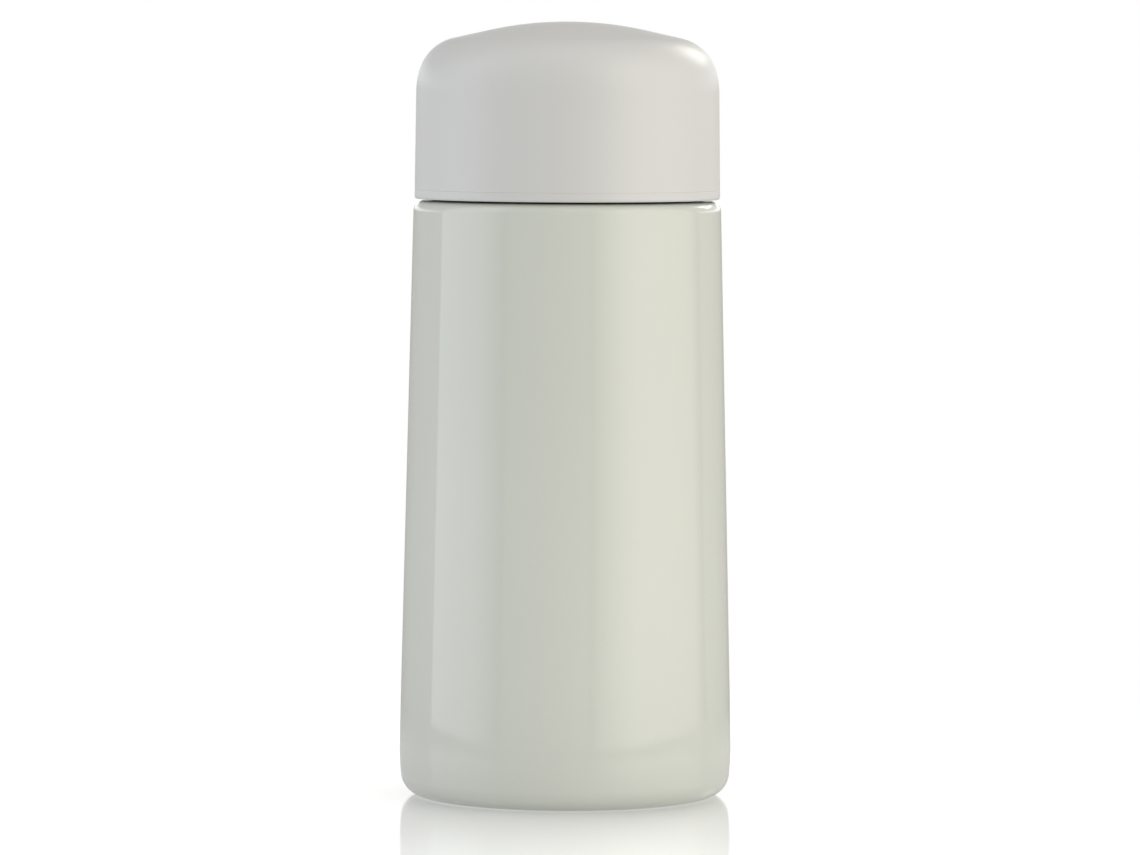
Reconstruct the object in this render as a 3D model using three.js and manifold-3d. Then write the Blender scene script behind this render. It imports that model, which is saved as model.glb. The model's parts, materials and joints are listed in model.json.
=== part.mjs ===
// A cup-topped vacuum flask, 350 ml: a tapered double-walled steel bottle, a screw-in stopper with a
// push-button pouring valve, and a domed cup that screws down over the stopper.
// Millimetres, +Z up, origin at the middle of the base, on the surface that the flask stands on.
import * as THREE from "three";
import { mergeVertices } from "three/addons/utils/BufferGeometryUtils.js";
import Module from "manifold-3d";

const wasm = await Module();
wasm.setup();

// ---------------------------------------------------------------- driving dimensions

const TOTAL_HEIGHT = 172.3; // top of the cup's dome
const SHOULDER_HEIGHT = 132.6; // ledge of the outer shell, under the cup
const SEAM_GAP = 0.5; // between that ledge and the cup's rim
const STEEL = 0.5; // sheet thickness of both bottle walls
const SHELL_SEGMENTS = 36; // facets round the two outer shells
const SEGMENTS = 24; // facets round the other large pieces
const SMALL_SEGMENTS = 16; // facets round the small ones

// Outer shell
const FOOT_RADIUS = 31.56; // where the standing ring turns up into the corner
const CORNER_RADIUS = 5.1;
const BELLY_RADIUS = 62; // the faint curve between the corner and the straight wall
const BELLY_LEAN = 6; // degrees that the wall leans outwards as it leaves the corner
const WALL_TAPER = 1.337; // degrees that the wall leans inwards above the belly
const RIM_RADIUS = 2.4; // rounded top edge, under the cup
const FLANGE_RADIUS = 28.7; // inside of the turned-up foot
const NECK_RADIUS = 25.2; // outside of the neck, at the root of its thread
const NECK_TOP = 146.2;
const NECK_FILLET = 1.2;

// Inner liner
const MOUTH_RADIUS = 23.0; // clear radius of the mouth
const LINER_BOTTOM = { r: 32.3, z: 13 };
const LINER_TOP = { r: 31.0, z: 117.5 };
const LINER_SHOULDER = { radius: 5, slope: 50 };
const LINER_BASE_Z = 8.8;

// Threads: three starts, right-handed, one lead for the neck and the cup
const STARTS = 3;
const LEAD = 12;
const RIDGE = { base: 1.8, tip: 0.9 }; // axial width of a ridge at its root and at its crest
const FLANK_PLAY = 0.2; // axial clearance between mating flanks, screwed down

// Stopper
const SKIRT = { inner: 26.6, outer: 28.4, bottom: 133.4, top: 151.5 };
const DECK = { under: 147.9, top: 149.7, bore: 12.4 };
const BARREL = { inner: 19.8, outer: 22.3, bottom: 124.2, top: 147.7 };
const WELL = { inner: 10.6, outer: 12.2, flange: 13.2, under: 143.5, floor: 145, top: 154.5 };
const SEAT = { opening: 9.5, under: 122.6, top: 124.6 };

// Push button and valve
const BUTTON = { radius: 10.2, bottom: 150, top: 157.5, wall: 1.3 };
const STEM_RADIUS = 2.45;
const SPRING = { radius: 6.6, wire: 0.9, turns: 5.5, bottom: 145.1, top: 155.6 };

// Cup
const CUP_WALL = 1.6;
const CUP_DOME = { radius: 80.6, halfAngle: 12.56, slopeLength: 7.97 };
const CUP_SHOULDER = { tight: 10.3, tightTurn: 60.74, soft: 17.05, softTurn: 15.96 };
const CUP_LIP = 1.2;
const CUP_RIM = SHOULDER_HEIGHT + SEAM_GAP;
const CUP_BORE = 29.9; // inside the cup's thread
const CUP_LEDGE = 153.3; // the step that the cup's gasket sits under

// ---------------------------------------------------------------- helpers

const radians = THREE.MathUtils.degToRad;

// A half-section drawn like a plotter would: straight runs and arcs that leave each other tangentially.
// Heading 0 points away from the axis, 90 points up. `outside` is +1 where the outside is on the right.
class Outline {
  constructor(r, z, heading, outside = 1) {
    Object.assign(this, { r, z, heading, outside });
    this.points = [];
    this.mark();
  }
  mark() {
    const normal = radians(this.heading - 90 * this.outside);
    this.points.push({ r: this.r, z: this.z, nr: Math.cos(normal), nz: Math.sin(normal) });
  }
  line(length) {
    this.r += length * Math.cos(radians(this.heading));
    this.z += length * Math.sin(radians(this.heading));
    this.mark();
    return this;
  }
  // A line that ends at a given height, or at a given radius.
  lineToHeight(z) {
    return this.line((z - this.z) / Math.sin(radians(this.heading)));
  }
  lineToRadius(r) {
    return this.line((r - this.r) / Math.cos(radians(this.heading)));
  }
  // Turns left by `turn` degrees, or right where it is negative.
  arc(radius, turn, steps) {
    const chord = 2 * radius * Math.sin(radians(Math.abs(turn) / steps / 2));
    for (let i = 0; i < steps; i++) {
      this.heading += turn / steps / 2;
      this.r += chord * Math.cos(radians(this.heading));
      this.z += chord * Math.sin(radians(this.heading));
      this.heading += turn / steps / 2;
      this.mark();
    }
    return this;
  }
  // The closed half-section of a sheet that lies `thickness` inside this outline.
  sheet(thickness) {
    const outer = this.points.map((p) => [Math.max(p.r, 0), p.z]);
    const inner = this.points.map((p) => [Math.max(p.r - p.nr * thickness, 0), p.z - p.nz * thickness]);
    return [...outer, ...inner.reverse()];
  }
}

// Turns a closed half-section of [r, z] points about Z.
function turned(section, segments = SEGMENTS) {
  let area = 0;
  section.forEach(([r, z], i) => {
    const [r2, z2] = section[(i + 1) % section.length];
    area += r * z2 - r2 * z;
  });
  const loop = area > 0 ? [...section] : [...section].reverse();
  const onAxis = (p) => p[0] < 1e-6;
  const first = loop.findIndex((p, i) => onAxis(p) && !onAxis(loop[(i + 1) % loop.length]));
  const ordered = first < 0 ? [...loop, loop[0]] : [...loop.slice(first), ...loop.slice(0, first)];
  const profile = ordered.map(([r, z]) => new THREE.Vector2(r, z));
  return new THREE.LatheGeometry(profile, segments).rotateX(Math.PI / 2);
}

// A plain ring or, where inner is 0, a disc.
function ring(inner, outer, bottom, top, segments = SEGMENTS) {
  const section = [[inner, bottom], [outer, bottom], [outer, top], [inner, top]];
  return turned(section, segments);
}

function toSolid(geometry) {
  const bare = geometry.clone();
  bare.deleteAttribute("normal");
  bare.deleteAttribute("uv");
  const merged = mergeVertices(bare, 1e-4);
  const mesh = new wasm.Mesh({
    numProp: 3,
    vertProperties: new Float32Array(merged.attributes.position.array),
    triVerts: new Uint32Array(merged.index.array),
  });
  return new wasm.Manifold(mesh);
}

function fromSolid(solid) {
  const mesh = solid.getMesh();
  const geometry = new THREE.BufferGeometry();
  geometry.setAttribute("position", new THREE.BufferAttribute(new Float32Array(mesh.vertProperties), 3));
  geometry.setIndex(new THREE.BufferAttribute(new Uint32Array(mesh.triVerts), 1));
  geometry.computeVertexNormals();
  return geometry;
}

function joined(base, additions) {
  return fromSolid(additions.reduce((solid, g) => solid.add(toSolid(g)), toSolid(base)));
}

function cut(base, tools) {
  return fromSolid(tools.reduce((solid, g) => solid.subtract(toSolid(g)), toSolid(base)));
}

// One ridge of a right-handed thread, swept round Z from `start` degrees. Its crest rises out of the
// wall over its first step and sinks back over its last.
function threadRidge({ root, crest, z, start, sweep, segments }) {
  const steps = Math.round((sweep * segments) / 360);
  const corners = [];
  for (let i = 0; i <= steps; i++) {
    const turn = (sweep * i) / steps;
    const angle = radians(start + turn);
    const middle = z + (LEAD * turn) / 360;
    const tip = i === 0 || i === steps ? root + (crest - root) * 0.35 : crest;
    const section = [
      [root, middle - RIDGE.base / 2],
      [tip, middle - RIDGE.tip / 2],
      [tip, middle + RIDGE.tip / 2],
      [root, middle + RIDGE.base / 2],
    ];
    for (const [r, height] of section) corners.push(r * Math.cos(angle), r * Math.sin(angle), height);
  }
  const faces = [0, 1, 2, 0, 2, 3];
  for (let i = 0; i < steps; i++) {
    for (let k = 0; k < 4; k++) {
      const [a, b] = [i * 4 + k, i * 4 + ((k + 1) % 4)];
      faces.push(a, a + 4, b, b, a + 4, b + 4);
    }
  }
  const last = steps * 4;
  faces.push(last, last + 2, last + 1, last, last + 3, last + 2);
  if (crest < root) faces.reverse(); // an inward ridge is the mirror image, so its faces turn round
  const geometry = new THREE.BufferGeometry();
  geometry.setAttribute("position", new THREE.Float32BufferAttribute(corners, 3));
  geometry.setIndex(faces);
  return geometry;
}

// The ridges of a three-start thread whose first ridge is centred on height `z` at angle 0.
function thread({ root, crest, z, from, to, segments = SEGMENTS }) {
  const sweep = ((to - from) * 360) / LEAD;
  return Array.from({ length: STARTS }, (_, i) => {
    const start = ((from - z) * 360) / LEAD + (i * 360) / STARTS;
    return threadRidge({ root, crest, z: from, start, sweep, segments });
  });
}

// A mating thread lies this far below the one that it pulls down against.
const MATE_DROP = (RIDGE.base + RIDGE.tip) / 2 + FLANK_PLAY;
const NECK_THREAD = { z: 136.7, from: 136.7, to: 143.3 };
const CUP_THREAD = { z: 137, from: 136.5, to: 144.5 };

// ---------------------------------------------------------------- bottle

function outerShell() {
  const foot = new Outline(FLANGE_RADIUS, 3.4, -90).line(2.1).arc(1.3, 90, 2).lineToRadius(FOOT_RADIUS);
  const wall = foot.arc(CORNER_RADIUS, 90 - BELLY_LEAN, 4).arc(BELLY_RADIUS, BELLY_LEAN + WALL_TAPER, 2);
  const rimCentre = SHOULDER_HEIGHT - RIM_RADIUS;
  wall.lineToHeight(rimCentre + RIM_RADIUS * Math.sin(radians(WALL_TAPER)));
  wall.arc(RIM_RADIUS, 90 - WALL_TAPER, 2).lineToRadius(NECK_RADIUS + NECK_FILLET);
  wall.arc(NECK_FILLET, -90, 1).lineToHeight(NECK_TOP);
  const segments = SHELL_SEGMENTS;
  const ridges = thread({ ...NECK_THREAD, root: NECK_RADIUS - STEEL / 2, crest: NECK_RADIUS + 1, segments });
  return joined(turned(wall.sheet(STEEL), segments), ridges);
}

// The welded bottom plate, with the pip through which the space between the walls is pumped out.
function outerBase() {
  const plate = new Outline(1.2, 3.8, 0).lineToRadius(4.4).arc(1, -45, 1).line(0.9).arc(1, 45, 1);
  plate.lineToRadius(26.9).arc(1, -90, 1).lineToHeight(0.9);
  const upper = plate.points.map((p) => [p.r + p.nr * -STEEL, p.z + p.nz * -STEEL]);
  const lower = plate.points.map((p) => [p.r, p.z]);
  return turned([...lower, ...upper.reverse()]);
}

function innerLiner() {
  const taper = Math.atan2(LINER_BOTTOM.r - LINER_TOP.r, LINER_TOP.z - LINER_BOTTOM.z);
  const lean = THREE.MathUtils.radToDeg(taper);
  const outside = MOUTH_RADIUS + STEEL;
  const fillet = 3;
  const side = new Outline(LINER_BOTTOM.r, LINER_BOTTOM.z, 90 + lean).lineToHeight(LINER_TOP.z);
  side.arc(LINER_SHOULDER.radius, LINER_SHOULDER.slope - lean, 2);
  side.lineToRadius(outside + fillet * (1 - Math.cos(radians(LINER_SHOULDER.slope))));
  side.arc(fillet, -LINER_SHOULDER.slope, 2).lineToHeight(145.5).arc(0.9, -90, 1).lineToRadius(NECK_RADIUS);
  return turned(side.sheet(STEEL));
}

function linerBase() {
  const dish = new Outline(0, LINER_BASE_Z, 0).lineToRadius(26.5).arc(5, 90, 3).line(1.8);
  return turned(dish.sheet(STEEL));
}

// Copper foil wrapped round the liner: it reflects radiant heat back across the vacuum.
function copperFoil() {
  const slope = (LINER_TOP.r - LINER_BOTTOM.r) / (LINER_TOP.z - LINER_BOTTOM.z);
  const [gap, thickness, bottom, top] = [0.3, 0.2, 18, 112];
  const at = (z, offset) => [LINER_BOTTOM.r + slope * (z - LINER_BOTTOM.z) + offset, z];
  return turned([at(bottom, gap), at(bottom, gap + thickness), at(top, gap + thickness), at(top, gap)]);
}

function getterHolder() {
  return turned([[0, 0], [5, 0], [5, 2], [4.5, 2], [4.5, 0.5], [0, 0.5]], SMALL_SEGMENTS);
}

function getterPellet() {
  return turned([[0, 0], [3.9, 0], [4.1, 0.2], [4.1, 1.8], [3.9, 2], [0, 2]], SMALL_SEGMENTS);
}

function vacuumSeal() {
  return turned([[0, 2.9], [2, 2.9], [3.2, 3.3], [3.2, 3.6], [0, 3.6]], SMALL_SEGMENTS);
}

function basePad() {
  const [bottom, top, groove] = [0.5, 2.2, 0.9];
  return turned([
    [0, bottom], [18, bottom], [18.5, groove], [20.5, groove], [21, bottom],
    [26.4, bottom], [27, bottom + 0.6], [27, top - 0.4], [26.6, top], [0, top],
  ]);
}

// ---------------------------------------------------------------- stopper

const SLEEVE = { bore: 2.9, pocket: 4.3, outer: 5.2, bottom: 138.2, pocketTop: 140.2 };
const GROOVE = { depth: 1.2, bottom: 128.4, top: 131.6 };

// The threaded skirt, and the deck across it with the pouring slot and the air hole.
function stopperBody() {
  const section = [
    [SKIRT.inner, SKIRT.bottom], [SKIRT.outer, SKIRT.bottom], [SKIRT.outer, SKIRT.top - 0.5],
    [SKIRT.outer - 0.5, SKIRT.top], [SKIRT.inner + 0.2, SKIRT.top], [SKIRT.inner - 0.2, DECK.top],
    [DECK.bore, DECK.top], [DECK.bore, DECK.under], [SKIRT.inner, DECK.under],
  ];
  const inside = thread({
    z: NECK_THREAD.z - MATE_DROP, from: 135, to: 139, root: SKIRT.inner + 0.5, crest: SKIRT.inner - 0.9,
  });
  const outside = thread({ ...CUP_THREAD, root: SKIRT.outer - 0.5, crest: SKIRT.outer + 1 });
  const body = joined(turned(section), [...inside, ...outside]);
  return cut(body, [pourSlot(), ventHole()]);
}

// The tube that plugs the neck, welded under the deck, with a groove for its gasket.
function stopperBarrel() {
  const grooveRadius = BARREL.outer - GROOVE.depth;
  return turned([
    [BARREL.inner, BARREL.bottom], [BARREL.outer - 0.4, BARREL.bottom], [BARREL.outer, BARREL.bottom + 0.6],
    [BARREL.outer, GROOVE.bottom], [grooveRadius, GROOVE.bottom], [grooveRadius, GROOVE.top],
    [BARREL.outer, GROOVE.top], [BARREL.outer, BARREL.top], [BARREL.inner, BARREL.top],
  ]);
}

// The well that the button and its spring stand in, pressed into the deck, with the stem's sleeve below.
function buttonWell() {
  const [flangeUnder, flangeTop] = [DECK.top + 0.2, DECK.top + 1];
  return turned([
    [SLEEVE.pocket, SLEEVE.bottom], [SLEEVE.outer, SLEEVE.bottom], [SLEEVE.outer, WELL.under],
    [WELL.outer, WELL.under], [WELL.outer, flangeUnder], [WELL.flange, flangeUnder], [WELL.flange, flangeTop],
    [WELL.outer, flangeTop], [WELL.outer, WELL.top], [WELL.inner, WELL.top], [WELL.inner, WELL.floor],
    [SLEEVE.bore, WELL.floor], [SLEEVE.bore, SLEEVE.pocketTop], [SLEEVE.pocket, SLEEVE.pocketTop],
  ]);
}

// The curved slot that the drink leaves through, on the front of the deck.
function pourSlot() {
  const [near, far, half] = [13.6, 18.6, 26];
  const shape = new THREE.Shape();
  shape.absarc(0, 0, far, radians(-90 - half), radians(-90 + half), false);
  shape.absarc(0, 0, near, radians(-90 + half), radians(-90 - half), true);
  shape.closePath();
  const options = { depth: 4, bevelEnabled: false, curveSegments: 5 };
  return new THREE.ExtrudeGeometry(shape, options).translate(0, 0, DECK.under - 1);
}

// The hole opposite the slot that lets air back into the flask.
function ventHole() {
  return ring(0, 1.6, DECK.under - 1, DECK.top + 1, 12).translate(0, 16.2, 0);
}

function valveSeat() {
  const bead = 0.25;
  return turned([
    [SEAT.opening, SEAT.under], [SEAT.opening + 1.6, SEAT.under], [SEAT.opening + 2, SEAT.under + bead],
    [21.4, SEAT.under + bead], [21.8, SEAT.under + bead + 0.4], [21.8, BARREL.bottom - 0.2],
    [19.5, BARREL.bottom - 0.2], [19.5, 127], [18.8, 127], [18.8, 129], [19.5, 129], [19.5, 132.5],
    [18.1, 132.5], [18.1, SEAT.top], [SEAT.opening, SEAT.top],
  ]);
}

function seatORing() {
  const section = [
    [18.95, 127.4], [19.3, 127.2], [19.62, 127.7], [19.62, 128.3], [19.3, 128.8], [18.95, 128.6],
  ];
  return turned(section);
}

// Two sealing lips that wipe the inside of the neck.
function stopperGasket() {
  const [back, waist, lip] = [21.4, 22.1, 22.75];
  const [low, high] = [GROOVE.bottom + 0.2, GROOVE.top - 0.2];
  const middle = (low + high) / 2;
  return turned([
    [back, low], [waist, low], [lip, (low + middle) / 2], [waist, middle],
    [lip, (middle + high) / 2], [waist, high], [back, high],
  ]);
}

function stemSeal() {
  const [low, high] = [SLEEVE.bottom + 0.2, SLEEVE.pocketTop - 0.2];
  return ring(2.7, 4.1, low, high, SMALL_SEGMENTS);
}

function buttonSpring() {
  class Coil extends THREE.Curve {
    getPoint(t, target = new THREE.Vector3()) {
      const rise = SPRING.top - SPRING.bottom - SPRING.wire;
      const closed = 0.16; // share of the wire in each closed end coil
      const [flat, open] = [1.05, rise - 2 * 1.05];
      const share = THREE.MathUtils.clamp((t - closed) / (1 - 2 * closed), 0, 1);
      const ends = Math.min(t / closed, 1) + Math.max((t - 1 + closed) / closed, 0);
      const height = SPRING.bottom + SPRING.wire / 2 + flat * ends + open * share;
      const angle = 2 * Math.PI * SPRING.turns * t;
      return target.set(SPRING.radius * Math.cos(angle), SPRING.radius * Math.sin(angle), height);
    }
  }
  const section = new THREE.Shape();
  section.absarc(0, 0, SPRING.wire / 2, 0, 2 * Math.PI, false);
  const options = { steps: 60, extrudePath: new Coil(), curveSegments: 3, bevelEnabled: false };
  return new THREE.ExtrudeGeometry(section, options);
}

function pushButton() {
  const edge = new Outline(0, BUTTON.top, 0, -1).lineToRadius(BUTTON.radius - 1.4).arc(1.4, -90, 3);
  const top = edge.points.map((p) => [Math.max(p.r, 0), p.z]);
  const [ceiling, boss, bore] = [BUTTON.top - 1.8, 4.4, 2.7];
  const bossBottom = 149.8;
  return turned([
    ...top, [BUTTON.radius, BUTTON.bottom], [BUTTON.radius - BUTTON.wall, BUTTON.bottom],
    [BUTTON.radius - BUTTON.wall, ceiling], [boss, ceiling], [boss, bossBottom], [bore, bossBottom],
    [bore, ceiling - 0.6], [0, ceiling - 0.6],
  ], SMALL_SEGMENTS);
}

function valveStem() {
  const [bottom, top, screwHole] = [120.7, 154.8, 1.4];
  return turned([
    [screwHole, bottom], [4.5, bottom], [4.5, bottom + 1.4], [STEM_RADIUS, bottom + 2.6],
    [STEM_RADIUS, top - 0.4], [STEM_RADIUS - 0.4, top], [0, top], [0, 128.5], [screwHole, 128.5],
  ], SMALL_SEGMENTS);
}

function valvePlate() {
  return turned([[1.7, 118.9], [10.6, 118.9], [12.2, 119.7], [12.2, 120.5], [1.7, 120.5]]);
}

function valveSeal() {
  return turned([
    [4.7, 120.7], [12.4, 120.7], [12.7, 121.2], [12.4, 121.9], [11.4, 122.4], [9.6, 122.4],
    [8.8, 121.8], [4.7, 121.8],
  ]);
}

// A small screw with a cross recess, driven up through the plate into the stem.
function valveScrew() {
  const [headBottom, headTop, tip] = [117.2, 118.7, 127.8];
  const blank = turned([
    [0, headBottom], [2.1, headBottom], [2.9, headBottom + 0.6], [2.9, headTop], [1.2, headTop],
    [1.2, tip - 0.6], [0.6, tip], [0, tip],
  ], 16);
  const arm = (x, y) => new THREE.BoxGeometry(x, y, 1.6).translate(0, 0, headBottom);
  return cut(blank, [arm(3, 0.7), arm(0.7, 3)]);
}

// ---------------------------------------------------------------- cup

function cupOutline() {
  const crown = new Outline(0, TOTAL_HEIGHT, 0, -1).arc(CUP_DOME.radius, -CUP_DOME.halfAngle, 2);
  crown.line(CUP_DOME.slopeLength);
  crown.arc(CUP_SHOULDER.tight, -CUP_SHOULDER.tightTurn, 4).arc(CUP_SHOULDER.soft, -CUP_SHOULDER.softTurn, 1);
  return crown.lineToHeight(CUP_RIM + CUP_LIP);
}

function cupShell() {
  const side = cupOutline();
  const wall = side.sheet(CUP_WALL);
  const rim = wall[side.points.length - 1];
  const lip = [[rim[0] - 0.3, CUP_RIM + 0.45], [rim[0] - CUP_LIP, CUP_RIM], [rim[0] - CUP_WALL, CUP_RIM]];
  wall.splice(side.points.length, 1, ...lip);
  return turned(wall, SHELL_SEGMENTS);
}

// The inner wall of the cup, which is the drinking vessel and carries the thread.
function cupLiner() {
  const corner = new Outline(20.8, 166, 0, -1).arc(9, -74, 3);
  const outer = corner.points.map((p) => [p.r, p.z]);
  const inner = corner.points.map((p) => [p.r - p.nr * 1.4, p.z - p.nz * 1.4]).reverse();
  const section = [
    [0, 166], ...outer, [31.4, 152.4], [31.4, CUP_RIM + 1.7], [32.1, CUP_RIM + 1.7], [32.1, CUP_RIM + 0.2],
    [CUP_BORE + 0.3, CUP_RIM + 0.2], [CUP_BORE, CUP_RIM + 0.6], [CUP_BORE, CUP_LEDGE], [28.3, CUP_LEDGE],
    ...inner, [0, 164.6],
  ];
  const ridges = thread({
    z: CUP_THREAD.z - MATE_DROP, from: 135.2, to: 139.7, root: CUP_BORE + 0.5, crest: CUP_BORE - 1,
  });
  return joined(turned(section), ridges);
}

// A ring of silicone under the cup's ledge: it seals on the stopper's rim and stops the cup rattling.
function cupGasket() {
  const [low, high] = [SKIRT.top + 0.3, CUP_LEDGE - 0.2];
  return turned([[26.8, low + 0.4], [27.2, low], [29.1, low], [29.5, low + 0.4], [29.5, high], [26.8, high]]);
}

// ---------------------------------------------------------------- assembly

const STEEL_BRUSHED = { color: 0xb9bbb9, roughness: 0.35, metalness: 1 };
const PEARL_PAINT = { color: 0xd9dccf, roughness: 0.22, metalness: 0.15 };
const SATIN_CUP = { color: 0xd8d7d3, roughness: 0.45, metalness: 0 };
const GREY_PLASTIC = { color: 0xb4b3ae, roughness: 0.5, metalness: 0 };
const BUTTON_PLASTIC = { color: 0x9aa39a, roughness: 0.45, metalness: 0 };
const SILICONE = { color: 0xe6e4de, roughness: 0.6, metalness: 0 };
const COPPER = { color: 0xb87333, roughness: 0.3, metalness: 1 };
const GETTER = { color: 0x6e6b66, roughness: 0.8, metalness: 0.4 };
const SEAL_GLASS = { color: 0x3f4a55, roughness: 0.2, metalness: 0 };
const BASE_RUBBER = { color: 0x8d908b, roughness: 0.75, metalness: 0 };

const materials = new Map();

function piece(name, geometry, finish, place = [0, 0, 0]) {
  if (!materials.has(finish)) materials.set(finish, new THREE.MeshStandardMaterial(finish));
  const mesh = new THREE.Mesh(geometry, materials.get(finish));
  mesh.name = name;
  mesh.position.set(...place);
  return mesh;
}

const bottle = new THREE.Group();
bottle.add(
  piece("outer_shell", outerShell(), PEARL_PAINT),
  piece("outer_base", outerBase(), STEEL_BRUSHED),
  piece("inner_liner", innerLiner(), STEEL_BRUSHED),
  piece("liner_base", linerBase(), STEEL_BRUSHED),
  piece("copper_foil", copperFoil(), COPPER),
  piece("getter_holder", getterHolder(), STEEL_BRUSHED, [14, 0, 3.4]),
  piece("getter_pellet", getterPellet(), GETTER, [14, 0, 4.1]),
  piece("vacuum_seal", vacuumSeal(), SEAL_GLASS),
  piece("base_pad", basePad(), BASE_RUBBER),
);

const stopper = new THREE.Group();
stopper.add(
  piece("stopper_body", stopperBody(), GREY_PLASTIC),
  piece("stopper_barrel", stopperBarrel(), GREY_PLASTIC),
  piece("button_well", buttonWell(), GREY_PLASTIC),
  piece("valve_seat", valveSeat(), GREY_PLASTIC),
  piece("seat_o_ring", seatORing(), SILICONE),
  piece("stopper_gasket", stopperGasket(), SILICONE),
  piece("stem_seal", stemSeal(), SILICONE),
  piece("button_spring", buttonSpring(), STEEL_BRUSHED),
);

const valve = new THREE.Group();
valve.add(
  piece("push_button", pushButton(), BUTTON_PLASTIC),
  piece("valve_stem", valveStem(), GREY_PLASTIC),
  piece("valve_plate", valvePlate(), GREY_PLASTIC),
  piece("valve_seal", valveSeal(), SILICONE),
  piece("valve_screw", valveScrew(), STEEL_BRUSHED),
);
stopper.add(valve);

const cup = new THREE.Group();
cup.add(
  piece("cup_shell", cupShell(), SATIN_CUP),
  piece("cup_liner", cupLiner(), SATIN_CUP),
  piece("cup_gasket", cupGasket(), SILICONE),
);

const flask = new THREE.Group();
flask.add(bottle, stopper, cup);

export default flask;
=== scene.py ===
# %% [markdown]
# # A vacuum flask with a cup for a lid
#
# This lesson rebuilds a small vacuum flask in Blender, piece by piece, around a frame that already
# has the right sizes. The flask is a double-walled steel bottle, a stopper with a push button that
# opens a pouring valve, and a domed cup that screws down over the stopper. Nearly every piece is
# round, so the lesson draws half-sections and spins them, and then adds threads, slots and flutes.

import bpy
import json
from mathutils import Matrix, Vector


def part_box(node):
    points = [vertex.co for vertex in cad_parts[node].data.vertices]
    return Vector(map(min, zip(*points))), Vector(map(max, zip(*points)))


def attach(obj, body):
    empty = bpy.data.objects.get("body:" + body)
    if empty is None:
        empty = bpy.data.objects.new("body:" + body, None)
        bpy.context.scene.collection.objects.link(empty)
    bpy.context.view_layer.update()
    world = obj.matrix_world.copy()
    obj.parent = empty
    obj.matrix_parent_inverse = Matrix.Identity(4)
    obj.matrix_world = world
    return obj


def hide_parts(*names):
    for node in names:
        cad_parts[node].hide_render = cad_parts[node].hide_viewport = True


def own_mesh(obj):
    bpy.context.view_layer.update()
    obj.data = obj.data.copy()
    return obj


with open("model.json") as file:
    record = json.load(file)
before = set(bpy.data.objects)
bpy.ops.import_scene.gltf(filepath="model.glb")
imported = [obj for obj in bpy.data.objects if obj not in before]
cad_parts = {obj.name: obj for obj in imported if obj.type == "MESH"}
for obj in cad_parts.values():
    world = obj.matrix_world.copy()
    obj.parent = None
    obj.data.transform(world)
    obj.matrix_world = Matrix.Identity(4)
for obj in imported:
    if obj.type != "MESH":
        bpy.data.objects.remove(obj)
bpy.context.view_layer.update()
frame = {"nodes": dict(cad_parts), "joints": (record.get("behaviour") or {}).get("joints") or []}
print("nodes in the frame:", len(frame["nodes"]))

# %% Other tools that the lesson uses
import json
import math

import bmesh
import bpy
from mathutils import Matrix, Vector

MM = 0.001  # the sections are drawn in millimetres, and Blender works in metres


def extent(node):
    """The lowest and highest corner of one of the frame's nodes, in millimetres."""
    low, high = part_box(node)
    return low / MM, high / MM


def heights(node):
    """The lowest and highest z of one of the frame's nodes, in millimetres."""
    return [corner.z for corner in extent(node)]


# %% [markdown]
# ## The camera
#
# A small product is shot from far away with a long lens, so that its sides stay nearly parallel. The
# lens sits at the height of the cup, looks slightly down, and leans by a hair.

# %% Camera
CAMERA_PLACE = Vector((0.8, -1390.7, 166.5)) * MM
CAMERA_DOWN = math.radians(3.475)
CAMERA_LEAN = math.radians(0.24)

bpy.ops.object.select_all(action="DESELECT")
bpy.ops.object.camera_add(location=CAMERA_PLACE)
camera = bpy.context.active_object
camera.name = "camera"
camera.data.lens = 197.5
camera.data.sensor_width = 36
camera.data.clip_end = 20
look = Matrix.Rotation(math.pi / 2 - CAMERA_DOWN, 4, "X")
lean = Matrix.Rotation(CAMERA_LEAN, 4, "Z")
camera.rotation_euler = (look @ lean).to_euler()
bpy.context.scene.camera = camera
print("camera distance in mm:", round(CAMERA_PLACE.length / MM))

# %% [markdown]
# ## Selecting by place
#
# Every operator in edit mode acts on what is selected. By hand one clicks; in a script the edges and
# faces are picked by a test on where their middle lies. The test sees millimetres, like the drawing.

# %% Selection helpers
def activate(piece):
    """Leaves edit mode, and makes this piece the only one selected."""
    if bpy.context.mode != "OBJECT":
        bpy.ops.object.mode_set(mode="OBJECT")
    bpy.ops.object.select_all(action="DESELECT")
    if piece:
        bpy.context.view_layer.objects.active = piece
        piece.select_set(True)


def choose(piece, kind, test):
    """In edit mode, selects the verts, edges or faces whose middle passes the test."""
    mesh = bmesh.from_edit_mesh(piece.data)
    bpy.ops.mesh.select_all(action="DESELECT")
    chosen = 0
    for item in getattr(mesh, kind):
        corners = [item.co] if kind == "verts" else [v.co for v in item.verts]
        if test(sum(corners, Vector()) / len(corners) / MM, item):
            item.select_set(True)
            chosen += 1
    mesh.select_flush_mode()
    bmesh.update_edit_mesh(piece.data)
    return chosen


# %% [markdown]
# ## A pen that draws half-sections
#
# A turned piece is the same all the way round, so half of its cross-section holds all of its shape.
# The pen starts as a small plane that is merged to one point. A straight stroke extrudes that point,
# and a curved stroke spins it about the middle of the arc, so arcs are true and run smoothly into
# their neighbours. A corner that is given a third number is rounded off by a vertex bevel. At last
# the section is spun about the flask's axis, as on a lathe.

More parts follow.
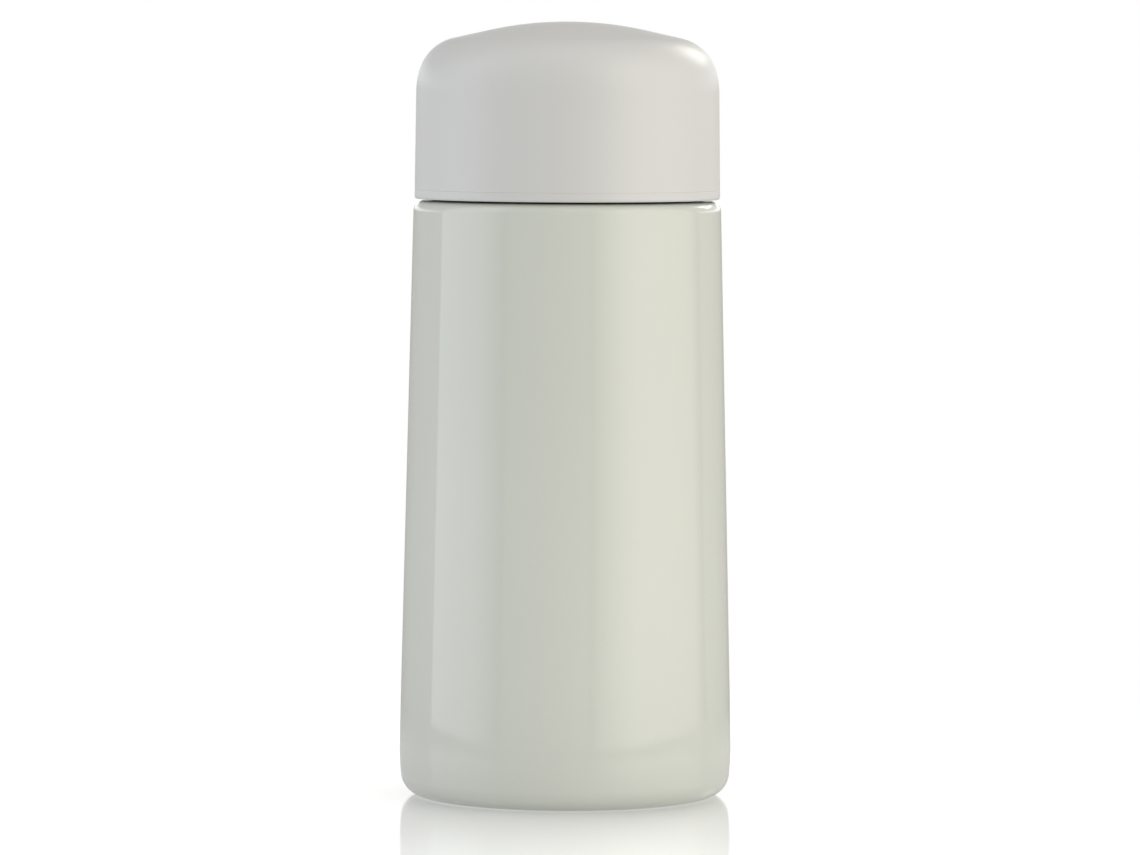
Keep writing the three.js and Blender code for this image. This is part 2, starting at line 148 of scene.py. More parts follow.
# %% The pen
class Pen:
    """Draws a half-section in the XZ plane, in millimetres. Heading 0 is outwards and 90 is up."""

    def __init__(self, r, z, heading=0):
        activate(None)
        bpy.ops.mesh.primitive_plane_add(size=MM, location=(r * MM, 0, z * MM))
        bpy.ops.object.transform_apply(location=True, rotation=False, scale=False)
        self.piece = bpy.context.active_object
        bpy.ops.object.mode_set(mode="EDIT")
        bpy.ops.mesh.select_all(action="SELECT")
        bpy.ops.mesh.merge(type="CENTER")
        self.r, self.z, self.heading = r, z, heading
        self.start = (r, z)
        self.first_stroke = None
        self.soft_corners = []

    def to(self, r, z):
        """A straight stroke to a given place."""
        step = ((r - self.r) * MM, 0, (z - self.z) * MM)
        bpy.ops.mesh.extrude_region_move(TRANSFORM_OT_translate={"value": step})
        self.first_stroke = self.first_stroke or ((self.r, self.z), (r, z))
        self.r, self.z = r, z
        return self

    def line(self, length):
        """A straight stroke along the heading."""
        turn = math.radians(self.heading)
        return self.to(self.r + length * math.cos(turn), self.z + length * math.sin(turn))

    def across_to(self, r):
        """A straight stroke along the heading that ends at this radius."""
        return self.line((r - self.r) / math.cos(math.radians(self.heading)))

    def up_to(self, z):
        """A straight stroke along the heading that ends at this height."""
        return self.line((z - self.z) / math.sin(math.radians(self.heading)))

    def arc(self, radius, turn, step=6):
        """A curved stroke that leaves along the heading and turns left by `turn` degrees."""
        side = math.radians(self.heading + math.copysign(90, turn))
        centre = (self.r + radius * math.cos(side), self.z + radius * math.sin(side))
        bpy.ops.mesh.spin(
            steps=max(2, round(abs(turn) / step)),
            angle=math.radians(turn),
            center=(centre[0] * MM, 0, centre[1] * MM),
            axis=(0, 1, 0),
        )
        self.heading += turn
        away = math.radians(self.heading - math.copysign(90, turn))
        self.r = centre[0] + radius * math.cos(away)
        self.z = centre[1] + radius * math.sin(away)
        return self

    def through(self, *corners):
        """Straight strokes through (r, z) corners. A third number rounds that corner off."""
        for r, z, *rounding in corners:
            self.to(r, z)
            if rounding:
                self.soft_corners.append((r, z, rounding[0]))
        return self

    def close(self, rounding=0):
        """The last stroke, back to the start."""
        self.to(*self.start)
        if rounding:
            self.soft_corners.append((*self.start, rounding))
        return self

    def round_off(self, steps=4):
        bpy.ops.mesh.select_all(action="SELECT")
        bpy.ops.mesh.remove_doubles(threshold=0.001 * MM)
        for size in sorted({corner[2] for corner in self.soft_corners}):
            places = [Vector((r, 0, z)) for r, z, rounding in self.soft_corners if rounding == size]
            choose(self.piece, "verts", lambda at, _: any((at - p).length < 0.005 for p in places))
            bpy.ops.mesh.bevel(offset=size * MM, segments=steps, affect="VERTICES")

    def spin(self, name, facets=96):
        """Spins the section about the flask's axis, and returns the piece in object mode."""
        self.round_off()
        bpy.ops.mesh.select_all(action="SELECT")
        bpy.ops.mesh.spin(steps=facets, angle=math.tau, center=(0, 0, 0), axis=(0, 0, 1))
        bpy.ops.mesh.select_all(action="SELECT")
        bpy.ops.mesh.remove_doubles(threshold=0.001 * MM)
        bpy.ops.mesh.normals_make_consistent(inside=False)
        bpy.ops.object.mode_set(mode="OBJECT")
        self.piece.name = name
        self.piece.data.name = name
        return self.piece

    def spin_sheet(self, name, facets, wall, outside="right"):
        """Spins an open outline, and gives it a wall on the side away from its outside."""
        sheet = self.spin(name, facets)
        (r1, z1), (r2, z2) = self.first_stroke
        outwards = Vector((z2 - z1, 0, r1 - r2)) * (1 if outside == "right" else -1)
        middle = Vector(((r1 + r2) / 2, (z1 + z2) / 2))

        def distance(face):
            at = face.center / MM
            return (Vector((math.hypot(at.x, at.y), at.z)) - middle).length

        nearest = min(sheet.data.polygons, key=distance)
        radial = Vector((nearest.center.x, nearest.center.y, 0)).normalized()
        if nearest.normal.dot(radial * outwards.x + Vector((0, 0, outwards.z))) < 0:
            activate(sheet)
            bpy.ops.object.mode_set(mode="EDIT")
            bpy.ops.mesh.select_all(action="SELECT")
            bpy.ops.mesh.flip_normals()
            bpy.ops.object.mode_set(mode="OBJECT")
        return modify(sheet, "SOLIDIFY", thickness=wall * MM, offset=-1, use_even_offset=True)


# %% [markdown]
# ## Modifiers that finish a piece
#
# A modifier can be tried out live, and is then applied, so that the finished mesh stands on its own.
# Solidify turns an outline into sheet metal. Boolean joins threads on and cuts slots out. Weighted
# Normal comes last: it lets the large faces set the shading, so that a flat wall stays flat right up
# to its rounded edge.

# %% Modifier helpers
def modify(piece, kind, **settings):
    """Adds a modifier with these settings and applies it."""
    activate(piece)
    bpy.ops.object.modifier_add(type=kind)
    modifier = piece.modifiers[-1]
    for key, value in settings.items():
        setattr(modifier, key, value)
    bpy.ops.object.modifier_apply(modifier=modifier.name)
    return piece


def combine(piece, tool, operation):
    """Joins a tool to a piece, or cuts it out, and throws the tool away."""
    modify(piece, "BOOLEAN", object=tool, operation=operation, solver="EXACT")
    bpy.data.objects.remove(tool)
    return piece


def smooth(piece, angle):
    """Smooths all but the edges that turn by more than this angle, in degrees."""
    activate(piece)
    bpy.ops.object.shade_smooth_by_angle(angle=math.radians(angle))
    return modify(piece, "WEIGHTED_NORMAL", weight=50, keep_sharp=True)


def shift(piece, x=0, y=0, z=0, turn=0):
    """Moves and turns a shape inside its mesh, so that its object stays at the origin."""
    activate(piece)
    piece.location = (x * MM, y * MM, z * MM)
    piece.rotation_euler = (0, 0, turn)
    bpy.ops.object.transform_apply(location=True, rotation=True, scale=False)
    return piece


def doubled(piece):
    """A copy with its own mesh."""
    copy = piece.copy()
    copy.data = piece.data.copy()
    bpy.context.collection.objects.link(copy)
    return copy


def close_ends(piece):
    """Caps the open ends of a swept shape, and turns its faces outwards."""
    activate(piece)
    bpy.ops.object.mode_set(mode="EDIT")
    bpy.ops.mesh.select_all(action="SELECT")
    bpy.ops.mesh.remove_doubles(threshold=0.001 * MM)
    bpy.ops.mesh.fill_holes(sides=0)
    bpy.ops.mesh.select_all(action="SELECT")
    bpy.ops.mesh.normals_make_consistent(inside=False)
    bpy.ops.object.mode_set(mode="OBJECT")
    return piece


# %% [markdown]
# ## Threads
#
# The neck and the stopper both carry a coarse thread with three starts. Each ridge climbs 12 mm in a
# turn, so half a turn is enough to free it. A ridge's section is swept up round the axis by the
# Screw modifier. Its ends are then sunk into the wall over a few degrees, as a mould maker runs a
# thread out, and three copies are joined to the wall.

# %% Thread helpers
STARTS = 3
LEAD = 12.0
RIDGE_BASE = 1.8
RIDGE_TIP = 0.9
MATE_DROP = (RIDGE_BASE + RIDGE_TIP) / 2 + 0.2  # a mating ridge lies this far below the one it pulls on
NECK_THREAD_Z = 136.7
CUP_THREAD_Z = 137.0
STEPS_A_TURN = 96


def sink_ends(ridge, sections, root, fade=7):
    """Draws a swept ridge's crest down to its root over its first and last few sections."""
    in_each = len(ridge.data.vertices) // sections
    for index, vertex in enumerate(ridge.data.vertices):
        section = index // in_each
        share = min(section, sections - 1 - section) / fade
        share = min(max(share, 0.03), 1)
        share = share * share * (3 - 2 * share)
        radius = math.hypot(vertex.co.x, vertex.co.y)
        wanted = root * MM + (radius - root * MM) * share
        vertex.co.x *= wanted / radius
        vertex.co.y *= wanted / radius


def thread(root, crest, meets, low, high):
    """Three ridges between two heights. The first would cross height `meets` straight ahead on X."""
    pen = Pen(root, low - RIDGE_BASE / 2)
    pen.through((crest, low - RIDGE_TIP / 2, 0.3), (crest, low + RIDGE_TIP / 2, 0.3))
    pen.through((root, low + RIDGE_BASE / 2)).close()
    pen.round_off(steps=3)
    ridge = pen.piece
    steps = round((high - low) / LEAD * STEPS_A_TURN)
    modify(
        ridge, "SCREW", angle=(high - low) / LEAD * math.tau, screw_offset=(high - low) * MM,
        steps=steps, render_steps=steps,
    )
    sink_ends(ridge, steps + 1, root)
    close_ends(ridge)
    first = (low - meets) / LEAD * math.tau
    ridges = [shift(doubled(ridge), turn=first + start * math.tau / STARTS) for start in range(STARTS)]
    bpy.data.objects.remove(ridge)
    activate(ridges[0])
    for other in ridges[1:]:
        other.select_set(True)
    bpy.ops.object.join()
    return ridges[0]


# %% [markdown]
# ## Shader maths written as Python
#
# A socket that is wrapped in a Value can be added, multiplied and subtracted like a number, and each
# operator adds the Math node that it stands for. Nodes makes every other node through one method:
# its settings come first, and then the values or links of its sockets.

# %% The node writer
class Value:
    """The output of a node, for use in Python expressions."""

    def __init__(self, nodes, output):
        self.nodes, self.output = nodes, output

    def maths(self, operation, *inputs):
        return self.nodes.node("ShaderNodeMath", {"operation": operation}, dict(enumerate(inputs)))

    def __add__(self, other):
        return self.maths("ADD", self, other)

    def __radd__(self, other):
        return self.maths("ADD", other, self)

    def __sub__(self, other):
        return self.maths("SUBTRACT", self, other)

    def __rsub__(self, other):
        return self.maths("SUBTRACT", other, self)

    def __mul__(self, other):
        return self.maths("MULTIPLY", self, other)

    def __rmul__(self, other):
        return self.maths("MULTIPLY", other, self)

    def root(self):
        return self.maths("SQRT", self)

    def clamp(self):
        return self.maths("MINIMUM", self.maths("MAXIMUM", self, 0.0), 1.0)

    def above(self, threshold, softness):
        """0 below the threshold and 1 above it, with a ramp that wide between them."""
        return ((self - threshold) * (1 / softness) + 0.5).clamp()


class Nodes:
    """Writes nodes into a node tree."""

    def __init__(self, tree):
        self.tree = tree

    def node(self, kind, settings=None, inputs=None, output=0):
        node = self.tree.nodes.new(kind)
        for key, value in (settings or {}).items():
            setattr(node, key, value)
        for key, value in (inputs or {}).items():
            self.plug(value, node.inputs[key])
        return Value(self, node.outputs[output])

    def plug(self, value, socket):
        if isinstance(value, Value):
            self.tree.links.new(value.output, socket)
        else:
            socket.default_value = value

    def split(self, vector):
        """The x, y and z of a vector as three values."""
        node = self.node("ShaderNodeSeparateXYZ", inputs={0: vector}).output.node
        return [Value(self, node.outputs[axis]) for axis in "XYZ"]

    def colour(self, factor, low, high):
        """A mix of two colours: the first where the factor is 0, and the second where it is 1."""
        return self.node("ShaderNodeMix", {"data_type": "RGBA"}, {0: factor, 6: low, 7: high}, output=2)


# %% [markdown]
# ## A finish
#
# Each material is one principled shader. What is the same all over is set on the shader's own
# sockets, and what varies over the surface is plugged in. Patterns are placed by Object coordinates,
# which are metres on the real flask, so a scale of 5000 gives marks a fifth of a millimetre apart.

# %% The finish writer
class Finish(Nodes):
    """One procedural material. Its slot, which is None for the stage, is stored but not used."""

    def __init__(self, name, slot, **constants):
        self.slot = slot
        self.material = bpy.data.materials.new(name)
        self.material.use_nodes = True
        super().__init__(self.material.node_tree)
        self.shader = self.tree.nodes["Principled BSDF"]
        for socket, value in constants.items():
            self.shader.inputs[socket.replace("_", " ")].default_value = value
        self.place = self.node("ShaderNodeTexCoord", output="Object")

    def vary(self, **sockets):
        """Plugs what varies over the surface into the shader."""
        for socket, value in sockets.items():
            self.plug(value, self.shader.inputs[socket.replace("_", " ")])
        print(self.material.name, "has", len(self.tree.nodes), "nodes")

    def noise(self, scale, detail=3.0, roughness=0.5, vector=None):
        inputs = {"Vector": vector or self.place, "Scale": scale, "Detail": detail}
        return self.node("ShaderNodeTexNoise", inputs={**inputs, "Roughness": roughness})

    def flakes(self, scale):
        """A random value in each small cell."""
        inputs = {"Vector": self.place, "Scale": scale}
        cells = self.node("ShaderNodeTexVoronoi", inputs=inputs, output="Color")
        return self.node("ShaderNodeSeparateColor", inputs={0: cells})

    def radius(self):
        x, y, _ = self.split(self.place)
        return (x * x + y * y).root()

    def bump(self, height, depth):
        """Relief from a height between 0 and 1, with its depth in millimetres."""
        inputs = {"Height": height, "Distance": depth * MM}
        return self.node("ShaderNodeBump", inputs=inputs, output="Normal")


def tint(colour, factor):
    """The same colour, lighter or darker."""
    return (*(channel * factor for channel in colour[:3]), 1)


# %% [markdown]
# ## The table
#
# The flask stands on a glossy milk-white sheet that glows. Its glow is darker round the flask, as a
# painted contact shadow, and brighter right under the foot, as painted light that keeps the foot's lower
# edge from going black. Further out it fades into plain white light, so that no horizon shows. The flask
# sees that outer part dimmer than the camera does, which lets the flask's own edges fall off.

# %% Table
bpy.context.scene.view_settings.view_transform = "Standard"

WHITE = (1, 1, 1, 1)
BLACK = (0, 0, 0, 1)
TABLE_RADIUS = 0.24
PAINTED_SHADOW_RADIUS, PAINTED_SHADOW_FADE = 0.07, 0.07
FOOT_RADIUS, FOOT_FADE, FOOT_PAINTED_LIGHT = 0.0335, 0.003, 0.8
OUTER_RADIUS, OUTER_FADE = 0.17, 0.09
# the colour of the painted contact shadow in the sheet's glow
PAINTED_SHADOW_GLOW = (0.45, 0.45, 0.45, 1)
OUTER_GLOW = (0.42, 0.42, 0.40, 1)  # how the flask sees the outer part

activate(None)
bpy.ops.mesh.primitive_circle_add(
    vertices=96, radius=TABLE_RADIUS, fill_type="NGON", location=(0, 0, -0.03 * MM),
)
table = bpy.context.active_object
table.name = "table"

sheet = Finish(
    "milk_sheet", None,
    Base_Color=(0.66, 0.66, 0.66, 1), Roughness=0.12, Specular_IOR_Level=0.5, Emission_Strength=0.32,
)
# painted contact shadow: the glow is darker near the flask, and reflections in the flask see only that darker
# glow
not_mirrored = 1 - sheet.node("ShaderNodeLightPath", output="Is Glossy Ray")
clear_of_painted_shadow = sheet.radius().above(PAINTED_SHADOW_RADIUS, PAINTED_SHADOW_FADE) * not_mirrored
# painted light: the sheet glows brighter under the foot, to light the foot's lower edge
painted_foot_light = (1 - sheet.radius().above(FOOT_RADIUS, FOOT_FADE)) * FOOT_PAINTED_LIGHT
sheet.vary(Emission_Color=sheet.colour(clear_of_painted_shadow + painted_foot_light, PAINTED_SHADOW_GLOW, WHITE))
seen = sheet.node("ShaderNodeLightPath", output="Is Camera Ray")
outer_light = sheet.node(
    "ShaderNodeEmission", inputs={"Color": sheet.colour(seen, OUTER_GLOW, WHITE), "Strength": 1.02},
)
outer = sheet.radius().above(OUTER_RADIUS, OUTER_FADE)
milk = Value(sheet, sheet.shader.outputs["BSDF"])
mixed = sheet.node("ShaderNodeMixShader", inputs={0: outer, 1: milk, 2: outer_light})
sheet.plug(mixed, sheet.tree.nodes["Material Output"].inputs["Surface"])
table.data.materials.append(sheet.material)
print("table across in m:", round(table.dimensions.x, 2))

# %% [markdown]
# ## The room
#
# The camera sees a white room, but the flask is lit by a dimmer one, which is lighter in front than
# behind. Behind the flask a low bright band gives the glossy sheet something white to reflect. Only
# a first reflection shows that band: seen in the sheet and then again in the foot, it would put a
# bright glint on the lower corners.

# %% Room
ROOM_FRONT = (0.63, 0.63, 0.60, 1)
ROOM_BACK = (0.45, 0.44, 0.42, 1)
BAND_COLOUR = (1.35, 1.35, 1.35, 1)
world = bpy.data.worlds.new("room")
bpy.context.scene.world = world
world.use_nodes = True
room = Nodes(world.node_tree)
_, y, z = room.split(room.node("ShaderNodeTexCoord", output="Generated"))
first = 1 - room.node("ShaderNodeLightPath", output="Glossy Depth").above(1.5, 0.5)
band = z.above(0.035, 0.05) * (1 - z.above(0.17, 0.08)) * y.above(-0.15, 0.2) * first
walls = room.colour(y.above(-0.6, 0.7), ROOM_FRONT, ROOM_BACK)
seen = room.node("ShaderNodeLightPath", output="Is Camera Ray")
room_light = room.colour(seen, room.colour(band, walls, BAND_COLOUR), WHITE)
room.plug(room_light, room.tree.nodes["Background"].inputs["Color"])
print("the room has", len(room.tree.nodes), "nodes")

# %% [markdown]
# ## Lights
#
# Two tall white cloths stand beside the flask and are lit from behind: a cool one on the left, and a
# brighter, warmer one on the right. Both end just behind the flask, and that end is what the gloss
# shows as a long vertical line near each edge. Their glow fades out towards the camera, so that no
# second line shows nearer the middle. A light can't fade like that, so each cloth is a plane whose
# emission colour has a ramp on it. The camera doesn't see the planes, only the flask does.

# %% Glowing cloths
CLOTH_BOTTOM, CLOTH_TOP = -0.12, 1.1


def glowing_cloth(name, x, front, full, rear, rear_fade, rear_share, radiance, colour):
    """A plane that fades in from its front, glows most at y = full, and ends at its rear.

    Just before the end it has rear_share of its full glow.
    """
    activate(None)
    bpy.ops.mesh.primitive_plane_add(
        size=1, location=(x, (front + rear) / 2, (CLOTH_BOTTOM + CLOTH_TOP) / 2),
        rotation=(0, math.pi / 2, 0),
    )
    cloth = bpy.context.active_object
    cloth.name = name
    cloth.scale = (CLOTH_TOP - CLOTH_BOTTOM, rear - front, 1)
    bpy.ops.object.transform_apply(location=True, rotation=True, scale=True)
    cloth.visible_camera = False
    material = bpy.data.materials.new(name)
    material.use_nodes = True
    nodes = Nodes(material.node_tree)
    _, y, _ = nodes.split(nodes.node("ShaderNodeTexCoord", output="Object"))
    rising = y.above((front + full) / 2, full - front)
    falling = 1 - y.above((full + rear) / 2, rear - full) * (1 - rear_share)
    ending = 1 - y.above(rear - rear_fade / 2, rear_fade)
    glow = nodes.colour(rising * falling * ending, BLACK, colour)
    light = nodes.node("ShaderNodeEmission", inputs={"Color": glow, "Strength": radiance})
    nodes.plug(light, nodes.tree.nodes["Material Output"].inputs["Surface"])
    cloth.data.materials.append(material)
    print(name, "is", round(rear - front, 2), "m wide")


glowing_cloth(
    "left_cloth", x=-0.60, front=-0.62, full=-0.25, rear=0.156, rear_fade=0.002, rear_share=1.0,
    radiance=1.53, colour=(0.925, 0.957, 1.0, 1),
)
glowing_cloth(
    "right_cloth", x=0.62, front=-2.1, full=-0.5, rear=0.27, rear_fade=0.14, rear_share=0.32,
    radiance=2.15, colour=(1.0, 0.975, 0.90, 1),
)

# %% [markdown]
# ## Two small lamps
#
# A weak lamp hangs overhead, and a small one stands behind on the right and catches the shoulders.
# Both are ordinary area lights, whose power follows from how bright they should look.

# %% Lamps
def lamp(name, place, target, width, radiance, colour):
    """A square area light that faces a target."""
    activate(None)
    bpy.ops.object.light_add(type="AREA", location=place)
    light = bpy.context.active_object
    light.name = name
    light.data.size = width
    light.data.energy = radiance * math.pi * width * width
    light.data.color = colour
    light.rotation_euler = (Vector(target) - Vector(place)).to_track_quat("-Z", "Y").to_euler()
    print(name, "watts:", round(light.data.energy, 2))


lamp(
    "top_lamp", place=(0.12, -0.2, 1.1), target=(0, 0, 0.1), width=0.9,
    radiance=0.26, colour=(0.96, 0.98, 1.0),
)
lamp(
    "back_lamp", place=(0.42, 0.62, 0.50), target=(0, 0, 0.15), width=0.26,
    radiance=4.3, colour=(1.0, 0.985, 0.96),
)

# %% [markdown]
# ## Pearl paint and bare steel
#
# The body is sprayed with a pearl white that leans towards celadon green, under a clear gloss coat.
# Close up, the coat has a faint orange peel, and fine mica makes each spot a little lighter or
# darker. The paint stops on the ledge under the cup, and from there inwards the neck is bare turned
# steel with fine polishing rings. Both are one material, because the sheet is one piece: a mask on
# radius and height turns the paint into steel.

# %% Steel rings, shared by the three steel finishes
STEEL_COLOUR = (0.60, 0.595, 0.58, 1)


def polishing_rings(finish, scale=2600):
    """Fine lines that run round the axis, and wander a little as they go."""
    x, _, z = finish.split(finish.place)
    wander = finish.noise(50, detail=1.0) * 0.0006
    along = finish.node(
        "ShaderNodeCombineXYZ", inputs={0: finish.radius() + wander, 1: z + wander, 2: x * 0.01},
    )
    return finish.noise(scale, detail=4.0, roughness=0.65, vector=along)


# %% Pearl paint
PAINT_COLOUR = (0.665, 0.685, 0.63, 1)
PAINT_EDGE_RADIUS = 30.2
LEDGE_BOTTOM = 131.5

pearl = Finish(
    "pearl_paint", "pearl_paint", Coat_Roughness=0.05, Coat_IOR=1.5, Specular_IOR_Level=0.3,
)
peel = pearl.noise(420, detail=1.0)
mica = pearl.flakes(5200)
cloud = pearl.noise(28, detail=2.0)
lightness = (mica * 0.10 + cloud * 0.16 + 0.37).clamp()
paint = pearl.colour(lightness, tint(PAINT_COLOUR, 0.93), tint(PAINT_COLOUR, 1.07))
_, _, height = pearl.split(pearl.place)
wobble = (pearl.noise(240, detail=2.0) - 0.5) * 0.0003
inside = 1 - (pearl.radius() + wobble).above(PAINT_EDGE_RADIUS * MM, 0.1 * MM)
bare = inside * height.above(LEDGE_BOTTOM * MM, 0.1 * MM)
rings = polishing_rings(pearl)
pearl.vary(
    Base_Color=pearl.colour(bare, paint, STEEL_COLOUR),
    Metallic=bare,
    Roughness=(mica * 0.06 + 0.33) * (1 - bare) + (rings * 0.16 + 0.20) * bare,
    Coat_Weight=1 - bare,
    Normal=pearl.bump(peel * (1 - bare) * 0.5 + rings * bare, 0.003),
)

# %% [markdown]
# ## Bare steel
#
# The base plate and the small pressings are plain stainless sheet with a satin turned finish.

# %% Brushed steel
steel = Finish("brushed_steel", "brushed_steel", Metallic=1.0)
rings = polishing_rings(steel)
stain = steel.noise(90, detail=3.0)
steel.vary(
    Base_Color=steel.colour(stain, tint(STEEL_COLOUR, 0.92), tint(STEEL_COLOUR, 1.05)),
    Roughness=rings * 0.22 + 0.22,
    Normal=steel.bump(rings, 0.004),
)

# %% [markdown]
# ## Polished steel
#
# The inside of the bottle is electropolished: brighter and smoother, with only a ghost of the rings
# and a slow change from place to place, where the current bit more or less.

# %% Polished steel
polished = Finish("polished_steel", "polished_steel", Metallic=1.0)
rings = polishing_rings(polished, scale=1300)
smear = polished.noise(55, detail=4.0)
polished.vary(
    Base_Color=polished.colour(smear, (0.74, 0.735, 0.72, 1), (0.82, 0.815, 0.80, 1)),
    Roughness=smear * 0.08 + rings * 0.06 + 0.10,
    Normal=polished.bump(rings, 0.0015),
)

# %% [markdown]
# ## Drawn wire
#
# The spring and the screw are drawn stainless wire, a little darker and blotchy from the die.

# %% Spring steel
wire = Finish("spring_steel", "spring_steel", Metallic=1.0)
blotch = wire.noise(900, detail=3.0)
wire.vary(
    Base_Color=wire.colour(blotch, (0.42, 0.42, 0.41, 1), (0.56, 0.555, 0.54, 1)),
    Roughness=blotch * 0.15 + 0.24,
    Normal=wire.bump(wire.noise(4000), 0.002),
)

# %% [markdown]
# ## Moulded plastics
#
# The cup's outer wall is polypropylene with a satin pearl in it, more neutral than the paint. Its
# mould was spark-eroded, so the surface has a very fine grain that breaks up reflections. The inside
# of the cup is the same plastic from a polished mould. The stopper is a plain light grey with a matt
# grain, and its button is the same plastic in a soft sage. One function writes all four.

# %% Satin, smooth and matt plastic
def moulded(name, slot, colour, roughness, grain, coat=0.0):
    """Moulded plastic: a fine grain, faint flow clouds, and patches that are rubbed smoother."""
    finish = Finish(name, slot, Specular_IOR_Level=0.45, Coat_Roughness=0.28, Coat_Weight=coat)
    flow = finish.noise(24, detail=2.0)
    specks = finish.noise(3800, detail=2.0)
    rubbed = finish.noise(70, detail=3.0).above(0.55, 0.3)
    finish.vary(
        Base_Color=finish.colour(flow * 0.7 + specks * 0.3, tint(colour, 0.965), tint(colour, 1.035)),
        Roughness=specks * 0.08 + (roughness - 0.02) - rubbed * 0.04,
        Normal=finish.bump(specks, grain),
    )
    return finish


CUP_PEARL = (0.682, 0.680, 0.674, 1)
CUP_INSIDE = (0.70, 0.69, 0.68, 1)
STOPPER_GREY = (0.50, 0.50, 0.48, 1)
BUTTON_SAGE = (0.36, 0.41, 0.36, 1)
cup_satin = moulded("satin_cup_plastic", "cup_plastic", CUP_PEARL, roughness=0.40, grain=0.010, coat=0.25)
cup_smooth = moulded("smooth_cup_plastic", "liner_plastic", CUP_INSIDE, roughness=0.20, grain=0.002)
stopper_grey = moulded("stopper_plastic", "stopper_plastic", STOPPER_GREY, roughness=0.46, grain=0.014)
button_sage = moulded("button_plastic", "button_plastic", BUTTON_SAGE, roughness=0.38, grain=0.010)

# %% [markdown]
# ## Silicone
#
# Silicone lets light in under its surface, so the shader gets a little subsurface scattering, and its
# skin is faintly hazy.

# %% Silicone
silicone = Finish(
    "silicone", "silicone",
    Subsurface_Weight=0.35, Subsurface_Radius=(0.9, 0.8, 0.7), Subsurface_Scale=MM,
)
haze = silicone.noise(700, detail=3.0)
silicone.vary(
    Base_Color=silicone.colour(haze, (0.70, 0.69, 0.66, 1), (0.78, 0.77, 0.74, 1)),
    Roughness=haze * 0.16 + 0.42,
    Normal=silicone.bump(haze, 0.006),
)

# %% [markdown]
# ## Rubber
#
# The pad under the base is a matt elastomer. It has fine pores, and patches of it are scuffed lighter.

# %% Base rubber
rubber = Finish("base_rubber", "base_rubber", Specular_IOR_Level=0.35)
pores = rubber.noise(2600, detail=3.0)
scuffs = rubber.noise(150, detail=5.0, roughness=0.7).above(0.6, 0.25)
rubber.vary(
    Base_Color=rubber.colour(scuffs, (0.38, 0.39, 0.37, 1), (0.42, 0.43, 0.41, 1)),
    Roughness=pores * 0.12 + 0.62 + scuffs * 0.08,
    Normal=rubber.bump(pores, 0.02),
)

# %% [markdown]
# ## Copper, getter and sealing glass
#
# Between the walls there are bright crinkled foil, a pressed grey tablet of metal powder, and a bead
# of dark glass that was melted over the pumping hole.

# %% Hidden finishes
copper = Finish("copper_foil", "copper", Metallic=1.0)
crinkle = copper.noise(160, detail=5.0, roughness=0.6)
copper.vary(
    Base_Color=copper.colour(crinkle, (0.66, 0.34, 0.22, 1), (0.80, 0.46, 0.32, 1)),
    Roughness=crinkle * 0.18 + 0.16,
    Normal=copper.bump(crinkle, 0.08),
)

tablet = Finish("getter_powder", "getter", Specular_IOR_Level=0.2)
powder = tablet.noise(2400, detail=5.0, roughness=0.7)
tablet.vary(
    Base_Color=tablet.colour(powder, (0.13, 0.125, 0.12, 1), (0.24, 0.23, 0.22, 1)),
    Roughness=powder * 0.1 + 0.8,
    Normal=tablet.bump(powder, 0.05),
)

glass = Finish("seal_glass", "seal_glass", Coat_Weight=0.6)
swirl = glass.noise(500, detail=2.0)
glass.vary(
    Base_Color=glass.colour(swirl, (0.05, 0.07, 0.09, 1), (0.09, 0.12, 0.15, 1)),
    Roughness=swirl * 0.1 + 0.12,
    Normal=glass.bump(swirl, 0.03),
)

# %% [markdown]
# ## Handing a piece over
#
# Each piece ends in the same way: it is smoothed and gets its finish. It is then hung on the body
# that it rides on, and the frame's own solid that it stands for is hidden.

# %% Hand over
def hand_over(piece, finish, body, node, sharp_from=35):
    """Smooths a piece but for edges of `sharp_from` degrees and more, and gives it to the frame."""
    smooth(piece, sharp_from)
    piece.data.materials.append(finish.material)
    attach(piece, body)
    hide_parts(node)
    print(piece.name, "has", len(piece.data.polygons), "faces")


# %% [markdown]
# ## The outer shell
#
# The body is one sheet of half-millimetre steel. It could be made from a cylinder with scaled loops,
# but its curves would only come close. Drawn stroke by stroke they are true: the flange turned up
# inside the foot, the standing ring, a tight corner, a long faint belly, the straight taper, the
# rounded rim, the ledge, and the neck.

# %% Outer shell
STEEL_WALL = 0.5
SEAM_GAP = 0.5
FOOT_FLANGE = (28.7, 3.4)
FOOT_FLAT_EDGE = 31.56
STANDING_RING = 1.3
FOOT_CORNER = 5.1
BELLY_RADIUS, BELLY_LEAN = 62, 6
WALL_TAPER = 1.337
RIM_RADIUS = 2.4
NECK_RADIUS = 25.2
NECK_FILLET = 1.2
ROUND = 144  # facets round the large pieces
neck_top = extent("outer_shell")[1].z
cup_rim = extent("cup_shell")[0].z
shoulder = cup_rim - SEAM_GAP

pen = Pen(*FOOT_FLANGE, -90)
pen.line(FOOT_FLANGE[1] - STANDING_RING).arc(STANDING_RING, 90).across_to(FOOT_FLAT_EDGE)
pen.arc(FOOT_CORNER, 90 - BELLY_LEAN).arc(BELLY_RADIUS, BELLY_LEAN + WALL_TAPER, step=0.8)
pen.up_to(shoulder - RIM_RADIUS + RIM_RADIUS * math.sin(math.radians(WALL_TAPER)))
pen.arc(RIM_RADIUS, 90 - WALL_TAPER).across_to(NECK_RADIUS + NECK_FILLET)
pen.arc(NECK_FILLET, -90, step=15).up_to(neck_top)
outer_shell = pen.spin_sheet("outer_shell_sheet", ROUND, STEEL_WALL)
neck_thread = thread(NECK_RADIUS - 0.25, NECK_RADIUS + 1, meets=NECK_THREAD_Z, low=136.7, high=143.3)
combine(outer_shell, neck_thread, "UNION")
hand_over(outer_shell, pearl, "bottle", "outer_shell")

# %% [markdown]
# ## The base plate
#
# A pressed plate is welded inside the foot. The air is pumped out through a hole in the raised boss
# at its middle.

